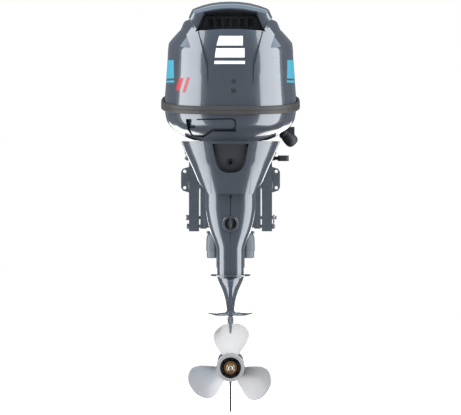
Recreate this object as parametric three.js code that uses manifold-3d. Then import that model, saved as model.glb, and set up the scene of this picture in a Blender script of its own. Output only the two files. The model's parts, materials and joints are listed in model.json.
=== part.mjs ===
// Outboard motor, 22 kW class, short shaft, with tiller steering. Millimetres, +Z up.
// The origin is the middle of the transom's top aft edge, between the two clamp brackets.
// +X is starboard, +Y is forward into the boat, -Y is aft.
import * as THREE from "three";
import { RoundedBoxGeometry } from "three/addons/geometries/RoundedBoxGeometry.js";
import { mergeVertices } from "three/addons/utils/BufferGeometryUtils.js";
import Module from "manifold-3d";

const wasm = await Module();
wasm.setup();

// ---------------------------------------------------------------- driving dimensions
const GAP = 0.4; // between touching pieces
const TILT = { y: 8, z: 36 }; // axis the motor tilts up on
const STEER_Y = -95; // vertical axis it steers on
const CRANK_Y = -205; // vertical axis of crankshaft and drive shaft
const PROP_Z = -586; // axis of the propeller shaft
const PLATE_Z = -431; // anti-ventilation plate
const SKEG_Z = -720; // lowest point
const JOINT_Z = 78.8; // top flange of the drive shaft housing, where the engine stands
const HOUSING_FOOT_Z = -326; // where the drive shaft housing meets the gearcase
const BAND = { mid: -247, z: 190.2, slope: 0.077, half: 205, height: 24 }; // trim band plane
const COWL_WALL = 4;
const BRACKET = { inner: 94, outer: 124, foot: -190 }; // each clamp bracket, |x| and lowest z
const RAKE_Y = 40; // how far the raked transom face has moved forward at the bracket's foot
const THRUST = { y: -40, z: -149, r: 5 }; // thrust rod
const TIE = { y: -20, z: -175, r: 5 }; // bolt that ties the brackets' feet together
const SCREW = { x: 109, z: -50, r: 8 }; // clamp screws
const HINGE = { y: 52, z: 72 }; // tiller fold axis
const PROP = { front: -337, rear: -435, hub: 41, radius: 130, pitch: 280, blades: 3 };
const PINION_TEETH = 13;
const GEAR_TEETH = 27;
const CAM_Y = -345;
const FINENESS = 0.42; // share of the facets that a round piece asks for

// ---------------------------------------------------------------- materials
const paint = (color, roughness, metalness) =>
  new THREE.MeshStandardMaterial({ color, roughness, metalness });
const GLOSS = paint("#4a525c", 0.22, 0.5);
const SATIN = paint("#4c555c", 0.42, 0.4);
const RUBBER = paint("#2a2827", 0.75, 0);
const PLASTIC = paint("#26282b", 0.55, 0);
const STEEL = paint("#a8abb0", 0.3, 0.95);
const CAST = paint("#8d9196", 0.5, 0.8);
const WHITE_METAL = paint("#d5d6d8", 0.3, 0.2);
const BRASS = paint("#b08d57", 0.35, 0.9);
const IRON = paint("#4b4b4d", 0.6, 0.7);
const ZINC = paint("#7d838a", 0.6, 0.6);

// ---------------------------------------------------------------- solids
/** A closed three.js geometry as a solid, faces out. */
function solid(geometry) {
  const g = geometry.clone();
  g.deleteAttribute("normal");
  g.deleteAttribute("uv");
  const merged = mergeVertices(g, 1e-4);
  const triVerts = new Uint32Array(merged.index.array);
  const make = () =>
    new wasm.Manifold(
      new wasm.Mesh({
        numProp: 3,
        vertProperties: new Float32Array(merged.attributes.position.array),
        triVerts,
      }),
    );
  const made = make();
  if (made.volume() > 0) return made;
  for (let i = 0; i < triVerts.length; i += 3)
    [triVerts[i], triVerts[i + 1]] = [triVerts[i + 1], triVerts[i]];
  return make();
}

const join = (...solids) => solids.reduce((a, b) => a.add(b));
const cut = (body, ...tools) => tools.reduce((a, b) => a.subtract(b), body);

function box([x0, x1], [y0, y1], [z0, z1]) {
  const g = new THREE.BoxGeometry(x1 - x0, y1 - y0, z1 - z0);
  g.translate((x0 + x1) / 2, (y0 + y1) / 2, (z0 + z1) / 2);
  return solid(g);
}

function softBox([x0, x1], [y0, y1], [z0, z1], radius) {
  const g = new RoundedBoxGeometry(x1 - x0, y1 - y0, z1 - z0, 1, radius);
  g.translate((x0 + x1) / 2, (y0 + y1) / 2, (z0 + z1) / 2);
  return solid(g);
}

const facets = (sides) => (sides < 9 ? sides : Math.round((sides * FINENESS) / 2) * 2);

/** Turns a geometry whose axis is Y so that its axis is x, y or z. */
function aim(geometry, axis) {
  if (axis === "x") geometry.rotateZ(-Math.PI / 2);
  if (axis === "z") geometry.rotateX(Math.PI / 2);
  return geometry;
}

/** A round bar of radius r (or [r at from, r at to]) along an axis through the point at. */
function bar(axis, r, from, to, at, sides = 24) {
  const [r0, r1] = Array.isArray(r) ? r : [r, r];
  const g = aim(new THREE.CylinderGeometry(r1, r0, to - from, facets(sides)), axis);
  const middle = { x: 0, y: 0, z: 0, ...at };
  middle[axis] = (from + to) / 2;
  g.translate(middle.x, middle.y, middle.z);
  return solid(g);
}

/** A round cutting tool whose flat facets, not its corners, lie at radius r. */
const bore = (axis, r, from, to, at, sides = 24) =>
  bar(axis, r / Math.cos(Math.PI / facets(sides)), from, to, at, sides);

/** A turned piece: profile is [radius, place along the axis] from one end to the other. */
function turned(axis, profile, at, sides = 32) {
  const points = profile.map(([r, h]) => new THREE.Vector2(r, h));
  const g = aim(new THREE.LatheGeometry(points, facets(sides)), axis);
  g.translate(at.x ?? 0, at.y ?? 0, at.z ?? 0);
  return solid(g);
}

/** An outline drawn in the plane across an axis, extruded along that axis. */
function slab(axis, outline, from, to) {
  const shape = new THREE.Shape(outline.map(([a, b]) => new THREE.Vector2(a, b)));
  const g = new THREE.ExtrudeGeometry(shape, { depth: to - from, bevelEnabled: false });
  const [x, y, z] = [
    new THREE.Vector3(1, 0, 0),
    new THREE.Vector3(0, 1, 0),
    new THREE.Vector3(0, 0, 1),
  ];
  if (axis === "x") g.applyMatrix4(new THREE.Matrix4().makeBasis(y, z, x));
  if (axis === "y") g.applyMatrix4(new THREE.Matrix4().makeBasis(x, z, y.clone().negate()));
  const move = { x: 0, y: 0, z: 0 };
  move[axis] = axis === "y" ? to : from;
  g.translate(move.x, move.y, move.z);
  return solid(g);
}

/** A round-section tube along smooth points. */
function hose(points, r, steps = 6, sides = 8) {
  const path = new THREE.CatmullRomCurve3(points.map((p) => new THREE.Vector3(...p)));
  const ring = new THREE.Shape(circle(r, sides).map(([a, b]) => new THREE.Vector2(a, b)));
  return solid(new THREE.ExtrudeGeometry(ring, { steps, extrudePath: path }));
}

function circle(r, count, [cx, cy] = [0, 0], first = 0, turn = 2 * Math.PI) {
  const last = turn === 2 * Math.PI ? count : count - 1;
  return Array.from({ length: count }, (_, i) => {
    const t = first + (turn * i) / last;
    return [cx + r * Math.cos(t), cy + r * Math.sin(t)];
  });
}

/** A skin over closed rings of points, all with the same count, capped at both ends. */
function skin(rings) {
  const n = rings[0].length;
  const position = rings.flat(2);
  const index = [];
  rings.slice(1).forEach((_, k) => {
    for (let i = 0; i < n; i++) {
      const [a, b] = [k * n + i, k * n + ((i + 1) % n)];
      index.push(a, b, b + n, a, b + n, a + n);
    }
  });
  [rings[0], rings[rings.length - 1]].forEach((ring, end) => {
    const centre = [0, 1, 2].map((k) => ring.reduce((s, p) => s + p[k], 0) / n);
    const c = position.length / 3;
    position.push(...centre);
    const base = end ? (rings.length - 1) * n : 0;
    for (let i = 0; i < n; i++) {
      const [a, b] = [base + i, base + ((i + 1) % n)];
      index.push(...(end ? [a, b, c] : [b, a, c]));
    }
  });
  const g = new THREE.BufferGeometry();
  g.setAttribute("position", new THREE.Float32BufferAttribute(position, 3));
  g.setIndex(index);
  return solid(g);
}

/** A rounded plan section at height z: half width, front and rear y, slope along y, squareness. */
function section([z, half, front, rear, slope = 0, power = 2.5], grow = 0, count = 20) {
  const mid = (front + rear) / 2;
  const reach = (front - rear) / 2 + grow;
  const round = (v) => Math.sign(v) * Math.abs(v) ** (2 / power);
  return Array.from({ length: count }, (_, i) => {
    const t = (2 * Math.PI * i) / count;
    const y = mid + round(Math.sin(t)) * reach;
    return [round(Math.cos(t)) * (half + grow), y, z + slope * (y - mid)];
  });
}

const loft = (sections, grow = 0, count = 20) =>
  skin(sections.map((s) => section(s, grow, count)));

/** The same sections carried straight on past the ends, so that a cutting body passes through. */
function through(sections, below, above) {
  const [first, last] = [sections[0], sections[sections.length - 1]];
  return [
    ...(below ? [[first[0] - below, ...first.slice(1)]] : []),
    ...sections,
    ...(above ? [[last[0] + above, ...last.slice(1)]] : []),
  ];
}

/** An outline with every side moved out by d. */
function widened(outline, d) {
  const n = outline.length;
  const area = outline.reduce((s, [x, y], i) => {
    const [u, v] = outline[(i + 1) % n];
    return s + x * v - u * y;
  }, 0);
  const side = Math.sign(area) * d;
  return outline.map((p, i) => {
    const [a, c] = [outline[(i + n - 1) % n], outline[(i + 1) % n]];
    const e = new THREE.Vector2(p[0] - a[0], p[1] - a[1]).normalize();
    const f = new THREE.Vector2(c[0] - p[0], c[1] - p[1]).normalize();
    const m = new THREE.Vector2(e.y + f.y, -e.x - f.x).normalize();
    const k = side / Math.max(0.4, m.x * e.y - m.y * e.x);
    return [p[0] + m.x * k, p[1] + m.y * k];
  });
}

/** A ring with teeth: n teeth between radius root and tip, three points each. */
function toothed(n, root, tip) {
  return Array.from({ length: 3 * n }, (_, i) => {
    const step = Math.floor(i / 3) + [0, 0.35, 0.65][i % 3];
    const r = i % 3 ? tip : root;
    const t = (2 * Math.PI * step) / n;
    return [r * Math.cos(t), r * Math.sin(t)];
  });
}

const model = new THREE.Group();
const assembly = () => {
  const group = new THREE.Group();
  model.add(group);
  return group;
};

function piece(group, name, body, material) {
  const mesh = body.getMesh();
  const g = new THREE.BufferGeometry();
  g.setAttribute("position", new THREE.Float32BufferAttribute(mesh.vertProperties, 3));
  g.setIndex(new THREE.BufferAttribute(new Uint32Array(mesh.triVerts), 1));
  g.computeVertexNormals();
  const made = new THREE.Mesh(g, material);
  made.name = name;
  group.add(made);
}

const mirrorX = (body) => body.mirror([1, 0, 0]);

// ---------------------------------------------------------------- clamp brackets
const clamp = assembly();

/** The starboard clamp bracket: side plate, hook over the transom, bolt flange, pockets. */
function clampBracket() {
  const armFront = 92;
  const armBack = 72;
  const armFoot = -95;
  const reliefZ = -8; // a groove in the corner, so that a square-edged transom seats
  const outline = [
    [RAKE_Y, BRACKET.foot],
    [(reliefZ * RAKE_Y) / BRACKET.foot, reliefZ],
    [-3, reliefZ],
    [-3, 0],
    [armBack, 0],
    [armBack, armFoot],
    [armFront, armFoot],
    [armFront, 6],
    [84, 18],
    [34, 22],
    [28, 36],
    ...circle(20, 9, [TILT.y, TILT.z], 0.2, Math.PI - 0.4),
    [-14, 26],
    [-30, 14],
    [-72, 0],
    [-74, -60],
    [-60, -150],
    [-56, BRACKET.foot],
  ];
  const plate = slab("x", outline, BRACKET.inner, BRACKET.outer);
  const flange = cut(
    slab("y", [[120, 4], [142, -3], [148, -12], [148, -60], [142, -69], [120, -76]], -10, 0),
    ...[-11, -60].map((z) => bar("y", 5, -20, 10, { x: 137, z }, 20)),
  );
  const pocket = [
    [-64, -10],
    [-6, -10],
    [16, -132],
    [-50, -132],
  ];
  const rib = [[-80, -66], [40, -66], [40, -74], [-80, -74]];
  const hollow = (from, to) => cut(slab("x", pocket, from, to), slab("x", rib, from, to));
  const trimHoles = [0, 6, 12, 18].map((step) => {
    const reach = Math.hypot(THRUST.y - TILT.y, THRUST.z - TILT.z);
    const angle = Math.atan2(THRUST.z - TILT.z, THRUST.y - TILT.y) + THREE.MathUtils.degToRad(step);
    const at = { y: TILT.y + reach * Math.cos(angle), z: TILT.z + reach * Math.sin(angle) };
    return bore("x", THRUST.r + GAP, 80, 140, at, 20);
  });
  return cut(
    join(plate, flange),
    hollow(BRACKET.inner - 1, BRACKET.inner + 9),
    hollow(BRACKET.outer - 10, BRACKET.outer + 1),
    bore("x", 12.5 + GAP, 80, 140, TILT, 28),
    bore("x", TIE.r + GAP, 80, 140, TIE, 20),
    bore("y", SCREW.r + GAP, 60, 110, { x: SCREW.x, z: SCREW.z }, 24),
    ...trimHoles,
  );
}

const starboardBracket = clampBracket();
piece(clamp, "starboard_clamp_bracket", starboardBracket, SATIN);
piece(clamp, "port_clamp_bracket", mirrorX(starboardBracket), SATIN);

const tiltNut = bar("x", 17, BRACKET.outer + GAP, 134, TILT, 6);
piece(
  clamp,
  "tilt_bolt",
  join(bar("x", 12.5, -137, 137, TILT, 28), tiltNut, mirrorX(tiltNut)),
  STEEL,
);

piece(
  clamp,
  "bracket_tie_bolt",
  join(
    bar("x", TIE.r, -131, 134, TIE, 20),
    bar("x", 9, -131, -BRACKET.outer - GAP, TIE, 6),
    bar("x", 9, BRACKET.outer + GAP, 131, TIE, 6),
  ),
  STEEL,
);

piece(
  clamp,
  "thrust_rod",
  join(
    bar("x", THRUST.r, -130, 140, THRUST, 20),
    bar("x", 8, -133, -BRACKET.outer - GAP, THRUST, 20),
  ),
  STEEL,
);
piece(
  clamp,
  "thrust_rod_clip",
  cut(
    join(bar("x", 9, 127, 131, THRUST, 20), box([127, 131], [THRUST.y - 3, THRUST.y + 3], [-166, -154])),
    bore("x", THRUST.r + GAP, 100, 150, THRUST, 20),
  ),
  STEEL,
);

function clampScrew() {
  const at = { x: SCREW.x, z: SCREW.z };
  return join(
    bar("y", SCREW.r, 70.6, 150, at, 20),
    bar("y", 12, 146, 160, at, 20),
    bar("x", [5.5, 4.5], SCREW.x, SCREW.x + 36, { y: 153, z: SCREW.z }, 14),
    bar("x", [4.5, 5.5], SCREW.x - 36, SCREW.x, { y: 153, z: SCREW.z }, 14),
  );
}
const clampPad = cut(
  turned("y", [[0, 60], [20, 60], [22, 63], [22, 67], [14, 70], [0, 70]], { x: SCREW.x, z: SCREW.z }, 28),
  bar("y", 5, 66, 80, { x: SCREW.x, z: SCREW.z }, 16),
);
piece(clamp, "starboard_clamp_pad", clampPad, CAST);
piece(clamp, "port_clamp_pad", mirrorX(clampPad), CAST);
piece(clamp, "starboard_clamp_screw", clampScrew(), STEEL);
piece(clamp, "port_clamp_screw", mirrorX(clampScrew()), STEEL);

// ---------------------------------------------------------------- swivel bracket
const swivel = assembly();
const TUBE = { r: 32, bore: 14, top: 40, foot: -215 };
const LOCK = { y: -35, z: 28, r: 5 }; // tilt lock shaft

/** One side plate of the swivel bracket, in the plane across X. */
const swivelSide = [
  [-82, 40],
  [-40, 44],
  [-8, 48],
  ...circle(20, 7, [TILT.y, TILT.z], 1.9, -2.6),
  [10, 14],
  [-20, -8],
  [-36, -60],
  [-44, -100],
  [THRUST.y - THRUST.r - GAP, -130],
  [THRUST.y - THRUST.r - GAP, -182],
  [-68, -182],
  [-82, -150],
];

function swivelBracket() {
  const tube = bar("z", TUBE.r, TUBE.foot, TUBE.top, { y: STEER_Y }, 36);
  const web = slab(
    "y",
    [[-90, 40], [90, 40], [90, -100], [76, -182], [72, -182], [40, -120], [-40, -120], [-72, -182],
      [-76, -182], [-90, -100]],
    -82,
    -72,
  );
  const side = slab("x", swivelSide, 74, 90);
  const window = slab("x", [[-68, 20], [-34, 16], [-48, -50], [-68, -60]], 60, 100);
  const crossBeam = slab("x", [[-82, 40], [-60, 40], [-60, 28], [-82, 22]], -88, 88);
  const sides = join(side, mirrorX(side));
  return cut(
    join(tube, web, sides, crossBeam),
    window,
    mirrorX(window),
    bore("z", TUBE.bore, -260, 80, { y: STEER_Y }, 28),
    bore("x", 12.5 + GAP, -100, 100, TILT, 28),
    bore("x", LOCK.r + GAP, 60, 100, LOCK, 20),
  );
}
piece(swivel, "swivel_bracket", swivelBracket(), SATIN);

piece(
  swivel,
  "tilt_lock_lever",
  join(
    bar("x", LOCK.r, 66, 146, LOCK, 18),
    softBox([141, 174], [LOCK.y - 34, LOCK.y + 8], [LOCK.z - 9, LOCK.z + 9], 5),
    bar("x", 9, 60, 70, LOCK, 18),
  ),
  PLASTIC,
);

// ---------------------------------------------------------------- steering bracket
const motor = assembly();

function steeringBracket() {
  const shaft = bar("z", TUBE.bore - GAP, -250, 60, { y: STEER_Y }, 28);
  const hub = bar("z", 36, TUBE.top + GAP, 77, { y: STEER_Y }, 32);
  const yokeArm = slab("z", [[20, -90], [34, -98], [60, -136.5], [38, -136.5], [10, -120]], 46, 77);
  const neck = slab("z", [[-34, -90], [34, -90], [26, 36], [-26, 36]], 59, 77);
  const ear = slab(
    "x",
    [[20, 59], [46, 59], ...circle(13, 8, [HINGE.y, HINGE.z], -1.2, 2.9), [40, 84], [20, 77]],
    14,
    25,
  );
  const foot = bar("z", 28, -246, TUBE.foot - GAP, { y: STEER_Y }, 28);
  const footArm = slab("z", [[6, -86], [26, -84], [66, -149.5], [48, -149.5], [8, -116]], -243, -220);
  return cut(
    join(shaft, hub, yokeArm, mirrorX(yokeArm), neck, ear, mirrorX(ear), foot, footArm, mirrorX(footArm)),
    bore("x", 5 + GAP, -40, 40, HINGE, 20),
    bar("z", 6, -260, 90, { y: STEER_Y }, 16),
  );
}
piece(motor, "steering_bracket", steeringBracket(), SATIN);

// ---------------------------------------------------------------- drive shaft housing
const HOUSING = [
  // z, half width, front, rear, slope, squareness
  [HOUSING_FOOT_Z, 42, -135, -290, 0, 3.6],
  [-242, 42, -135, -290, 0, 3.6],
  [-220, 48, -136, -291, 0, 3.6],
  [-192, 59, -137, -293, 0, 3.6],
  [-156, 69, -138, -296, 0, 3.6],
  [-114, 75, -139, -300, 0, 3.6],
  [-79, 75, -140, -302, 0, 3.6],
  [JOINT_Z, 72, -140, -306, 0, 3.6],
];

function driveShaftHousing() {
  const shell = cut(loft(HOUSING), loft(through(HOUSING, 10, 10), -6));
  const flange = cut(
    box([-104, 104], [-312, -137], [68, JOINT_Z]),
    box([-66, 66], [-292, -150], [60, 90]),
  );
  const splash = cut(
    loft([[-322, 60, -125, -302, 0, 2.4], [-318, 61, -124, -303, 0, 2.4], [-316, 58, -127, -300, 0, 2.4]]),
    loft([[-330, 38, -140, -284, 0, 2.8], [-300, 38, -140, -284, 0, 2.8]]),
  );
  const relief = { x: 0, z: -165.5 };
  return cut(
    join(shell, flange, splash, bar("y", 24, -299, -284, relief, 28)),
    bar("y", 16, -330, -270, relief, 28),
    bar("y", 3.5, -330, -270, { x: 0, z: -85 }, 16),
  );
}
piece(motor, "drive_shaft_housing", driveShaftHousing(), GLOSS);

const mountCover = cut(
  join(
    softBox([40, 72], [-214, -150], [-258, -192], 7),
    softBox([38, 69.5], [-210, -154], [-268, -240], 5),
    bar("z", 5, -194, -186, { x: 66, y: -165 }, 16),
  ),
  loft(HOUSING, 2 * GAP),
);
piece(motor, "starboard_mount_cover", mountCover, SATIN);
piece(motor, "port_mount_cover", mirrorX(mountCover), SATIN);

piece(
  motor,
  "exhaust_tube",
  cut(
    bar("z", [15, 20], -300, 60, { y: -262 }, 24),
    bar("z", [12, 17], -310, 70, { y: -262 }, 24),
  ),
  CAST,
);

// ---------------------------------------------------------------- rear apron
const APRON = [
  [-77, 82, -150, -338, 0, 3.6],
  [-38, 97, -158, -352, 0, 3.5],
  [-2, 112, -166, -366, 0, 3.4],
  [37, 130, -174, -386, 0, 3.2],
  [78.2, 147, -182, -408, 0, 3],
];
const RECESS = [[-43.5, 70], [-40, 14], [-30, -6], [-12, -14], [12, -14], [30, -6], [40, 14], [43.5, 70]];

function rearApron() {
  const shell = cut(loft(APRON), loft(through(APRON, 10, 10), -COWL_WALL));
  const open = widened(RECESS, 0);
  const rimBand = cut(loft(APRON), loft(through(APRON, 10, 10), -15));
  const rim = cut(slab("y", widened(RECESS, 4), -460, -320), slab("y", open, -470, -300));
  const lip = slab("y", [[-52, 70], [52, 70], [52, 76], [-52, 76]], -460, -320);
  const chamfer = slab("y", [[97, -38], [65, -78], [65, -120], [160, -120], [160, -38]], -460, -150);
  return cut(
    join(cut(shell, slab("y", open, -470, -300)), rimBand.intersect(join(rim, lip))),
    box([-200, 200], [-200, 0], [-100, 100]),
    chamfer,
    mirrorX(chamfer),
    loft(HOUSING, 2 * GAP),
    box([-104.5, 104.5], [-312.5, -137], [67.5, 90]),
  );
}
piece(motor, "rear_apron", rearApron(), GLOSS);

const panelBand = cut(loft(APRON, -15.4), loft(through(APRON, 10, 10), -19));
piece(
  motor,
  "recess_panel",
  cut(
    panelBand.intersect(slab("y", widened(RECESS, 4), -460, -320)),
    bar("y", 11 + GAP, -420, -300, { z: 15.5 }, 24),
  ),
  PLASTIC,
);
piece(
  motor,
  "pilot_water_nozzle",
  cut(
    turned("y", [[0, -345], [11, -345], [11, -358], [9, -363], [0, -363]], { z: 15.5 }, 24),
    bar("y", 6, -370, -350, { z: 15.5 }, 20),
  ),
  PLASTIC,
);

// ---------------------------------------------------------------- cowls
const LOWER = [
  [84, 112, -20, -440, 0.03, 2.5],
  [92, 132, -8, -462, 0.035, 2.6],
  [106, 152, 10, -490, 0.04, 2.8],
  [122, 174, 26, -512, 0.05, 2.9],
  [145, 189, 36, -527, 0.06, 3],
  [BAND.z - 1, 196, 41, -535, BAND.slope, 3.1],
];
const UPPER = [
  [BAND.z + GAP, 196, 41, -535, BAND.slope, 3.1],
  [216, 193, 38, -533, 0.07, 3.1],
  [318, 184, 20, -520, 0.02, 3.1],
  [356, 179, 6, -511, 0, 3.1],
  [384, 156, -16, -499, -0.03, 3],
  [402, 147, -34, -490, -0.04, 3],
  [430, 136, -60, -479, -0.05, 3],
  [439, 116, -74, -474, -0.05, 2.9],
  [459, 111, -100, -464, -0.05, 2.8],
  [468, 92, -124, -446, -0.05, 2.6],
  [480, 58, -170, -404, -0.03, 2.2],
  [488.5, 14, -250, -320, 0, 2],
];
const LATCH = [
  // outline seen from aft: x, z
  [-103.7, 139], [3, 141.5], [10, 138], [13, 131], [12, 121], [4, 115], [-54, 115], [-80, 94],
  [-109, 94], [-120, 115], [-103.7, 117],
];
const SHIFT = { y: -50, z: 112 };

/** The space inside the lower cowl's skin, at a depth below its surface, open upwards. */
function lowerInside(depth) {
  const inset = LOWER.map(([z, half, front, rear, ...rest], i) => {
    const floor = i === 0 ? depth : 0;
    return [z + floor * 0.9, half - depth, front - depth, rear + depth, ...rest];
  });
  if (inset[0][0] > inset[1][0]) inset[1][0] = inset[0][0] + 1;
  return loft(through(inset, 0, 20), 0, 24);
}

function lowerCowl() {
  const shell = cut(loft(LOWER, 0, 24), lowerInside(COWL_WALL));
  const skinZone = cut(loft(LOWER, 0, 24), lowerInside(16));
  const mouth = [[-131, 142.5], [3, 144.5], [13, 142], [17, 131], [16, 106], [-50, 106], [-79, 88.5],
    [-112, 88.5], [-125, 112]];
  const pocketWall = skinZone.intersect(slab("y", widened(mouth, 3), -560, -380));
  const pocket = cut(slab("y", mouth, -560, -420), lowerInside(13));
  return cut(
    join(shell, pocketWall),
    pocket,
    box([-100, 100], [-314, -116], [60, 100]),
    bar("x", 9, 100, 190, SHIFT, 20),
    bar("y", 9, -20, 80, { x: -70, z: 150 }, 20),
  );
}
piece(motor, "lower_cowl", lowerCowl(), GLOSS);

function trimBand() {
  const ring = (dz, grow) => section([BAND.z + dz, BAND.half, 50, -544, BAND.slope, 3.1], grow, 24);
  const h = BAND.height / 2;
  const outer = skin([ring(-h, -1.5), ring(-h + 3, 0), ring(h - 3, 0), ring(h, -1.5)]);
  return cut(outer, skin([ring(-h - 5, -8.6), ring(h + 5, -8.6)]));
}
piece(motor, "cowl_trim_band", trimBand(), RUBBER);

const latchLever = cut(loft(LOWER, -1, 24), lowerInside(8)).intersect(
  slab("y", LATCH, -560, -425),
);
piece(motor, "cowl_latch_lever", latchLever, GLOSS);

piece(
  motor,
  "shift_lever",
  join(
    bar("x", 8, 118, 176, SHIFT, 20),
    softBox([172, 192], [SHIFT.y - 12, SHIFT.y + 12], [98, 122], 4),
    skinBetween([150, SHIFT.y, 112], [180, SHIFT.y, 82], [11, 14, 18, 20, 17, 8]),
  ),
  PLASTIC,
);

/** A knob of the given radii along the line from a to b, a little past it at the end. */
function skinBetween(a, b, radii) {
  const from = new THREE.Vector3(...a);
  const axis = new THREE.Vector3(...b).sub(from);
  const step = axis.length() / (radii.length - 3);
  axis.normalize();
  const side = new THREE.Vector3(0, 1, 0);
  const up = new THREE.Vector3().crossVectors(axis, side);
  return skin(
    radii.map((r, k) => {
      const past = k - (radii.length - 2);
      const along = past < 0 ? k * step : (radii.length - 3) * step + [10, 18][past];
      return circle(r, 14).map(([p, q]) =>
        from.clone().addScaledVector(axis, along).addScaledVector(side, p).addScaledVector(up, q).toArray(),
      );
    }),
  );
}

const INLET = [[-97, 398], [-86, 404], [86, 404], [97, 398], [74, 447], [-74, 447]]; // x, z

/** Upper cowl: a shell with an air inlet under a hood at the rear of its crown. */
function upperCowl() {
  const duct = slab("y", INLET, -520, -400);
  const ductWall = slab("y", widened(INLET, 3), -520, -396);
  const back = box([-70, 70], [-402, -390], [412, 438]);
  const outer = loft(UPPER, 0, 24);
  const under = UPPER.slice(0, -1).map(([z, half, front, rear, ...rest]) => {
    const crown = z > BAND.z + 160 ? COWL_WALL : 0;
    return [z - crown, half - COWL_WALL, front - COWL_WALL, rear + COWL_WALL, ...rest];
  });
  const inner = cut(loft(through(under, 20, 0), 0, 24), ductWall);
  return cut(outer, inner, duct, back);
}
const cover = assembly();
piece(cover, "upper_cowl", upperCowl(), GLOSS);

function intakeBaffle() {
  const plate = slab("y", widened(INLET, -1.5), -406, -400.6);
  const slots = [-60, -36, -12, 12, 36, 60].map((x) => box([x - 8, x + 8], [-420, -390], [414, 436]));
  return cut(plate, ...slots);
}
piece(cover, "intake_baffle", intakeBaffle(), PLASTIC);

// ---------------------------------------------------------------- engine
const BORES = [150, 210, 270]; // heights of the three cylinders

function engineBlock() {
  const body = join(
    softBox([-96, 96], [-304, -128], [JOINT_Z + GAP, 100], 5),
    bar("z", 74, 96, 318, { y: CRANK_Y }, 32),
    softBox([-70, 70], [-300, -205], [98, 316], 6),
    ...BORES.map((z) => softBox([-78, 78], [-292, -228], [z - 22, z + 22], 5)),
  );
  return cut(
    body,
    bar("z", 48, 112, 304, { y: CRANK_Y }, 32),
    bar("z", 19, 60, 340, { y: CRANK_Y }, 24),
    ...BORES.map((z) => bar("y", 27, -320, CRANK_Y, { z }, 24)),
  );
}
piece(motor, "engine_block", engineBlock(), CAST);

piece(
  motor,
  "cylinder_head",
  cut(
    softBox([-80, 80], [-386, -300.5], [106, 316], 6),
    bar("z", 12, 280, 330, { y: CAM_Y }, 20),
  ),
  CAST,
);
piece(
  motor,
  "cam_cover",
  join(
    softBox([-66, 66], [-424, -386.5], [116, 308], 9),
    ...BORES.map((z) => softBox([-40, 40], [-430, -410], [z - 16, z + 16], 5)),
  ),
  PLASTIC,
);

function intakeManifold() {
  const plenum = softBox([-152, -112], [-262, -140], [118, 300], 10);
  const runners = BORES.map((z) =>
    hose([[-132, -250, z], [-136, -300, z], [-118, -334, z], [-80.6, -340, z]], 14));
  return cut(join(plenum, ...runners), box([-80.4, 0], [-400, -290], [100, 320]));
}
piece(motor, "intake_manifold", intakeManifold(), PLASTIC);

const STARTER = { x: 96, y: -124 };
piece(
  motor,
  "starter_motor",
  join(
    bar("z", 30, 172, 316, STARTER, 28),
    bar("z", 22, 160, 340, STARTER, 24),
    bar("z", 9, 340, 356, STARTER, 16),
  ),
  IRON,
);
piece(motor, "oil_filter", turned("x", [[0, 70.6], [24, 70.6], [31, 78], [31, 128], [24, 136], [0, 136]],
  { y: -262, z: 134 }, 24).subtract(softBox([-78.5, 78.5], [-292.5, -227.5], [127, 173], 5)), WHITE_METAL);
piece(motor, "control_box", softBox([98, 150], [-392, -300], [186, 312], 6), PLASTIC);
piece(motor, "fuel_filter", join(bar("z", 24, 128, 196, { x: -112, y: -96 }, 24),
  bar("z", 9, 112, 212, { x: -112, y: -96 }, 14)), WHITE_METAL);

function timingBelt() {
  const wrap = (grow) => {
    const [small, large] = [26 + grow, 50 + grow];
    const lean = Math.asin((large - small) / (CRANK_Y - CAM_Y));
    return [
      ...circle(small, 8, [0, CRANK_Y], lean, Math.PI - 2 * lean),
      ...circle(large, 16, [0, CAM_Y], Math.PI - lean, Math.PI + 2 * lean),
    ];
  };
  return cut(slab("z", wrap(3), 325, 337), slab("z", wrap(0), 320, 342));
}
piece(motor, "timing_belt", timingBelt(), RUBBER);

piece(
  motor,
  "fuel_connector",
  join(bar("y", 8.4, -2, 36, { x: -70, z: 150 }, 20), bar("y", 12, -8, 6, { x: -70, z: 150 }, 20)),
  STEEL,
);

// ---------------------------------------------------------------- crank train
const crank = assembly();

function crankshaft() {
  const webs = BORES.flatMap((z, i) => {
    const turn = (2 * Math.PI * i) / BORES.length;
    const pin = { x: 24 * Math.cos(turn), y: CRANK_Y + 24 * Math.sin(turn) };
    return [
      bar("z", 44, z - 22, z - 13, { y: CRANK_Y }, 28),
      bar("z", 44, z + 13, z + 22, { y: CRANK_Y }, 28),
      bar("z", 15, z - 14, z + 14, pin, 20),
    ];
  });
  const pulley = slab("z", toothed(12, 22.8, 24.5), 323, 339);
  return join(
    bar("z", 17, 97, 340, { y: CRANK_Y }, 24),
    bar("z", 10, 330, 376, { y: CRANK_Y }, 20),
    pulley.translate([0, CRANK_Y, 0]),
    ...webs,
  );
}
piece(crank, "crankshaft", crankshaft(), STEEL);

function flywheel() {
  const gear = slab("z", toothed(20, 105, 108.5), 344, 352).translate([0, CRANK_Y, 0]);
  const cup = turned("z", [[10.4, 343], [104, 343], [104, 374], [94, 374], [90, 352], [30, 352], [26, 366],
    [10.4, 366], [10.4, 343]], { y: CRANK_Y }, 44);
  const holes = [0, 1, 2, 3].map((i) => {
    const t = (i * Math.PI) / 2;
    return bar("z", 11, 340, 360, { x: 62 * Math.cos(t), y: CRANK_Y + 62 * Math.sin(t) }, 16);
  });
  return cut(join(gear.subtract(bar("z", 96, 340, 360, { y: CRANK_Y }, 48)), cup), ...holes);
}
piece(crank, "flywheel", flywheel(), IRON);

piece(crank, "drive_shaft", bar("z", 8.5, -567, 96.6, { y: CRANK_Y }, 20), STEEL);

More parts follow.
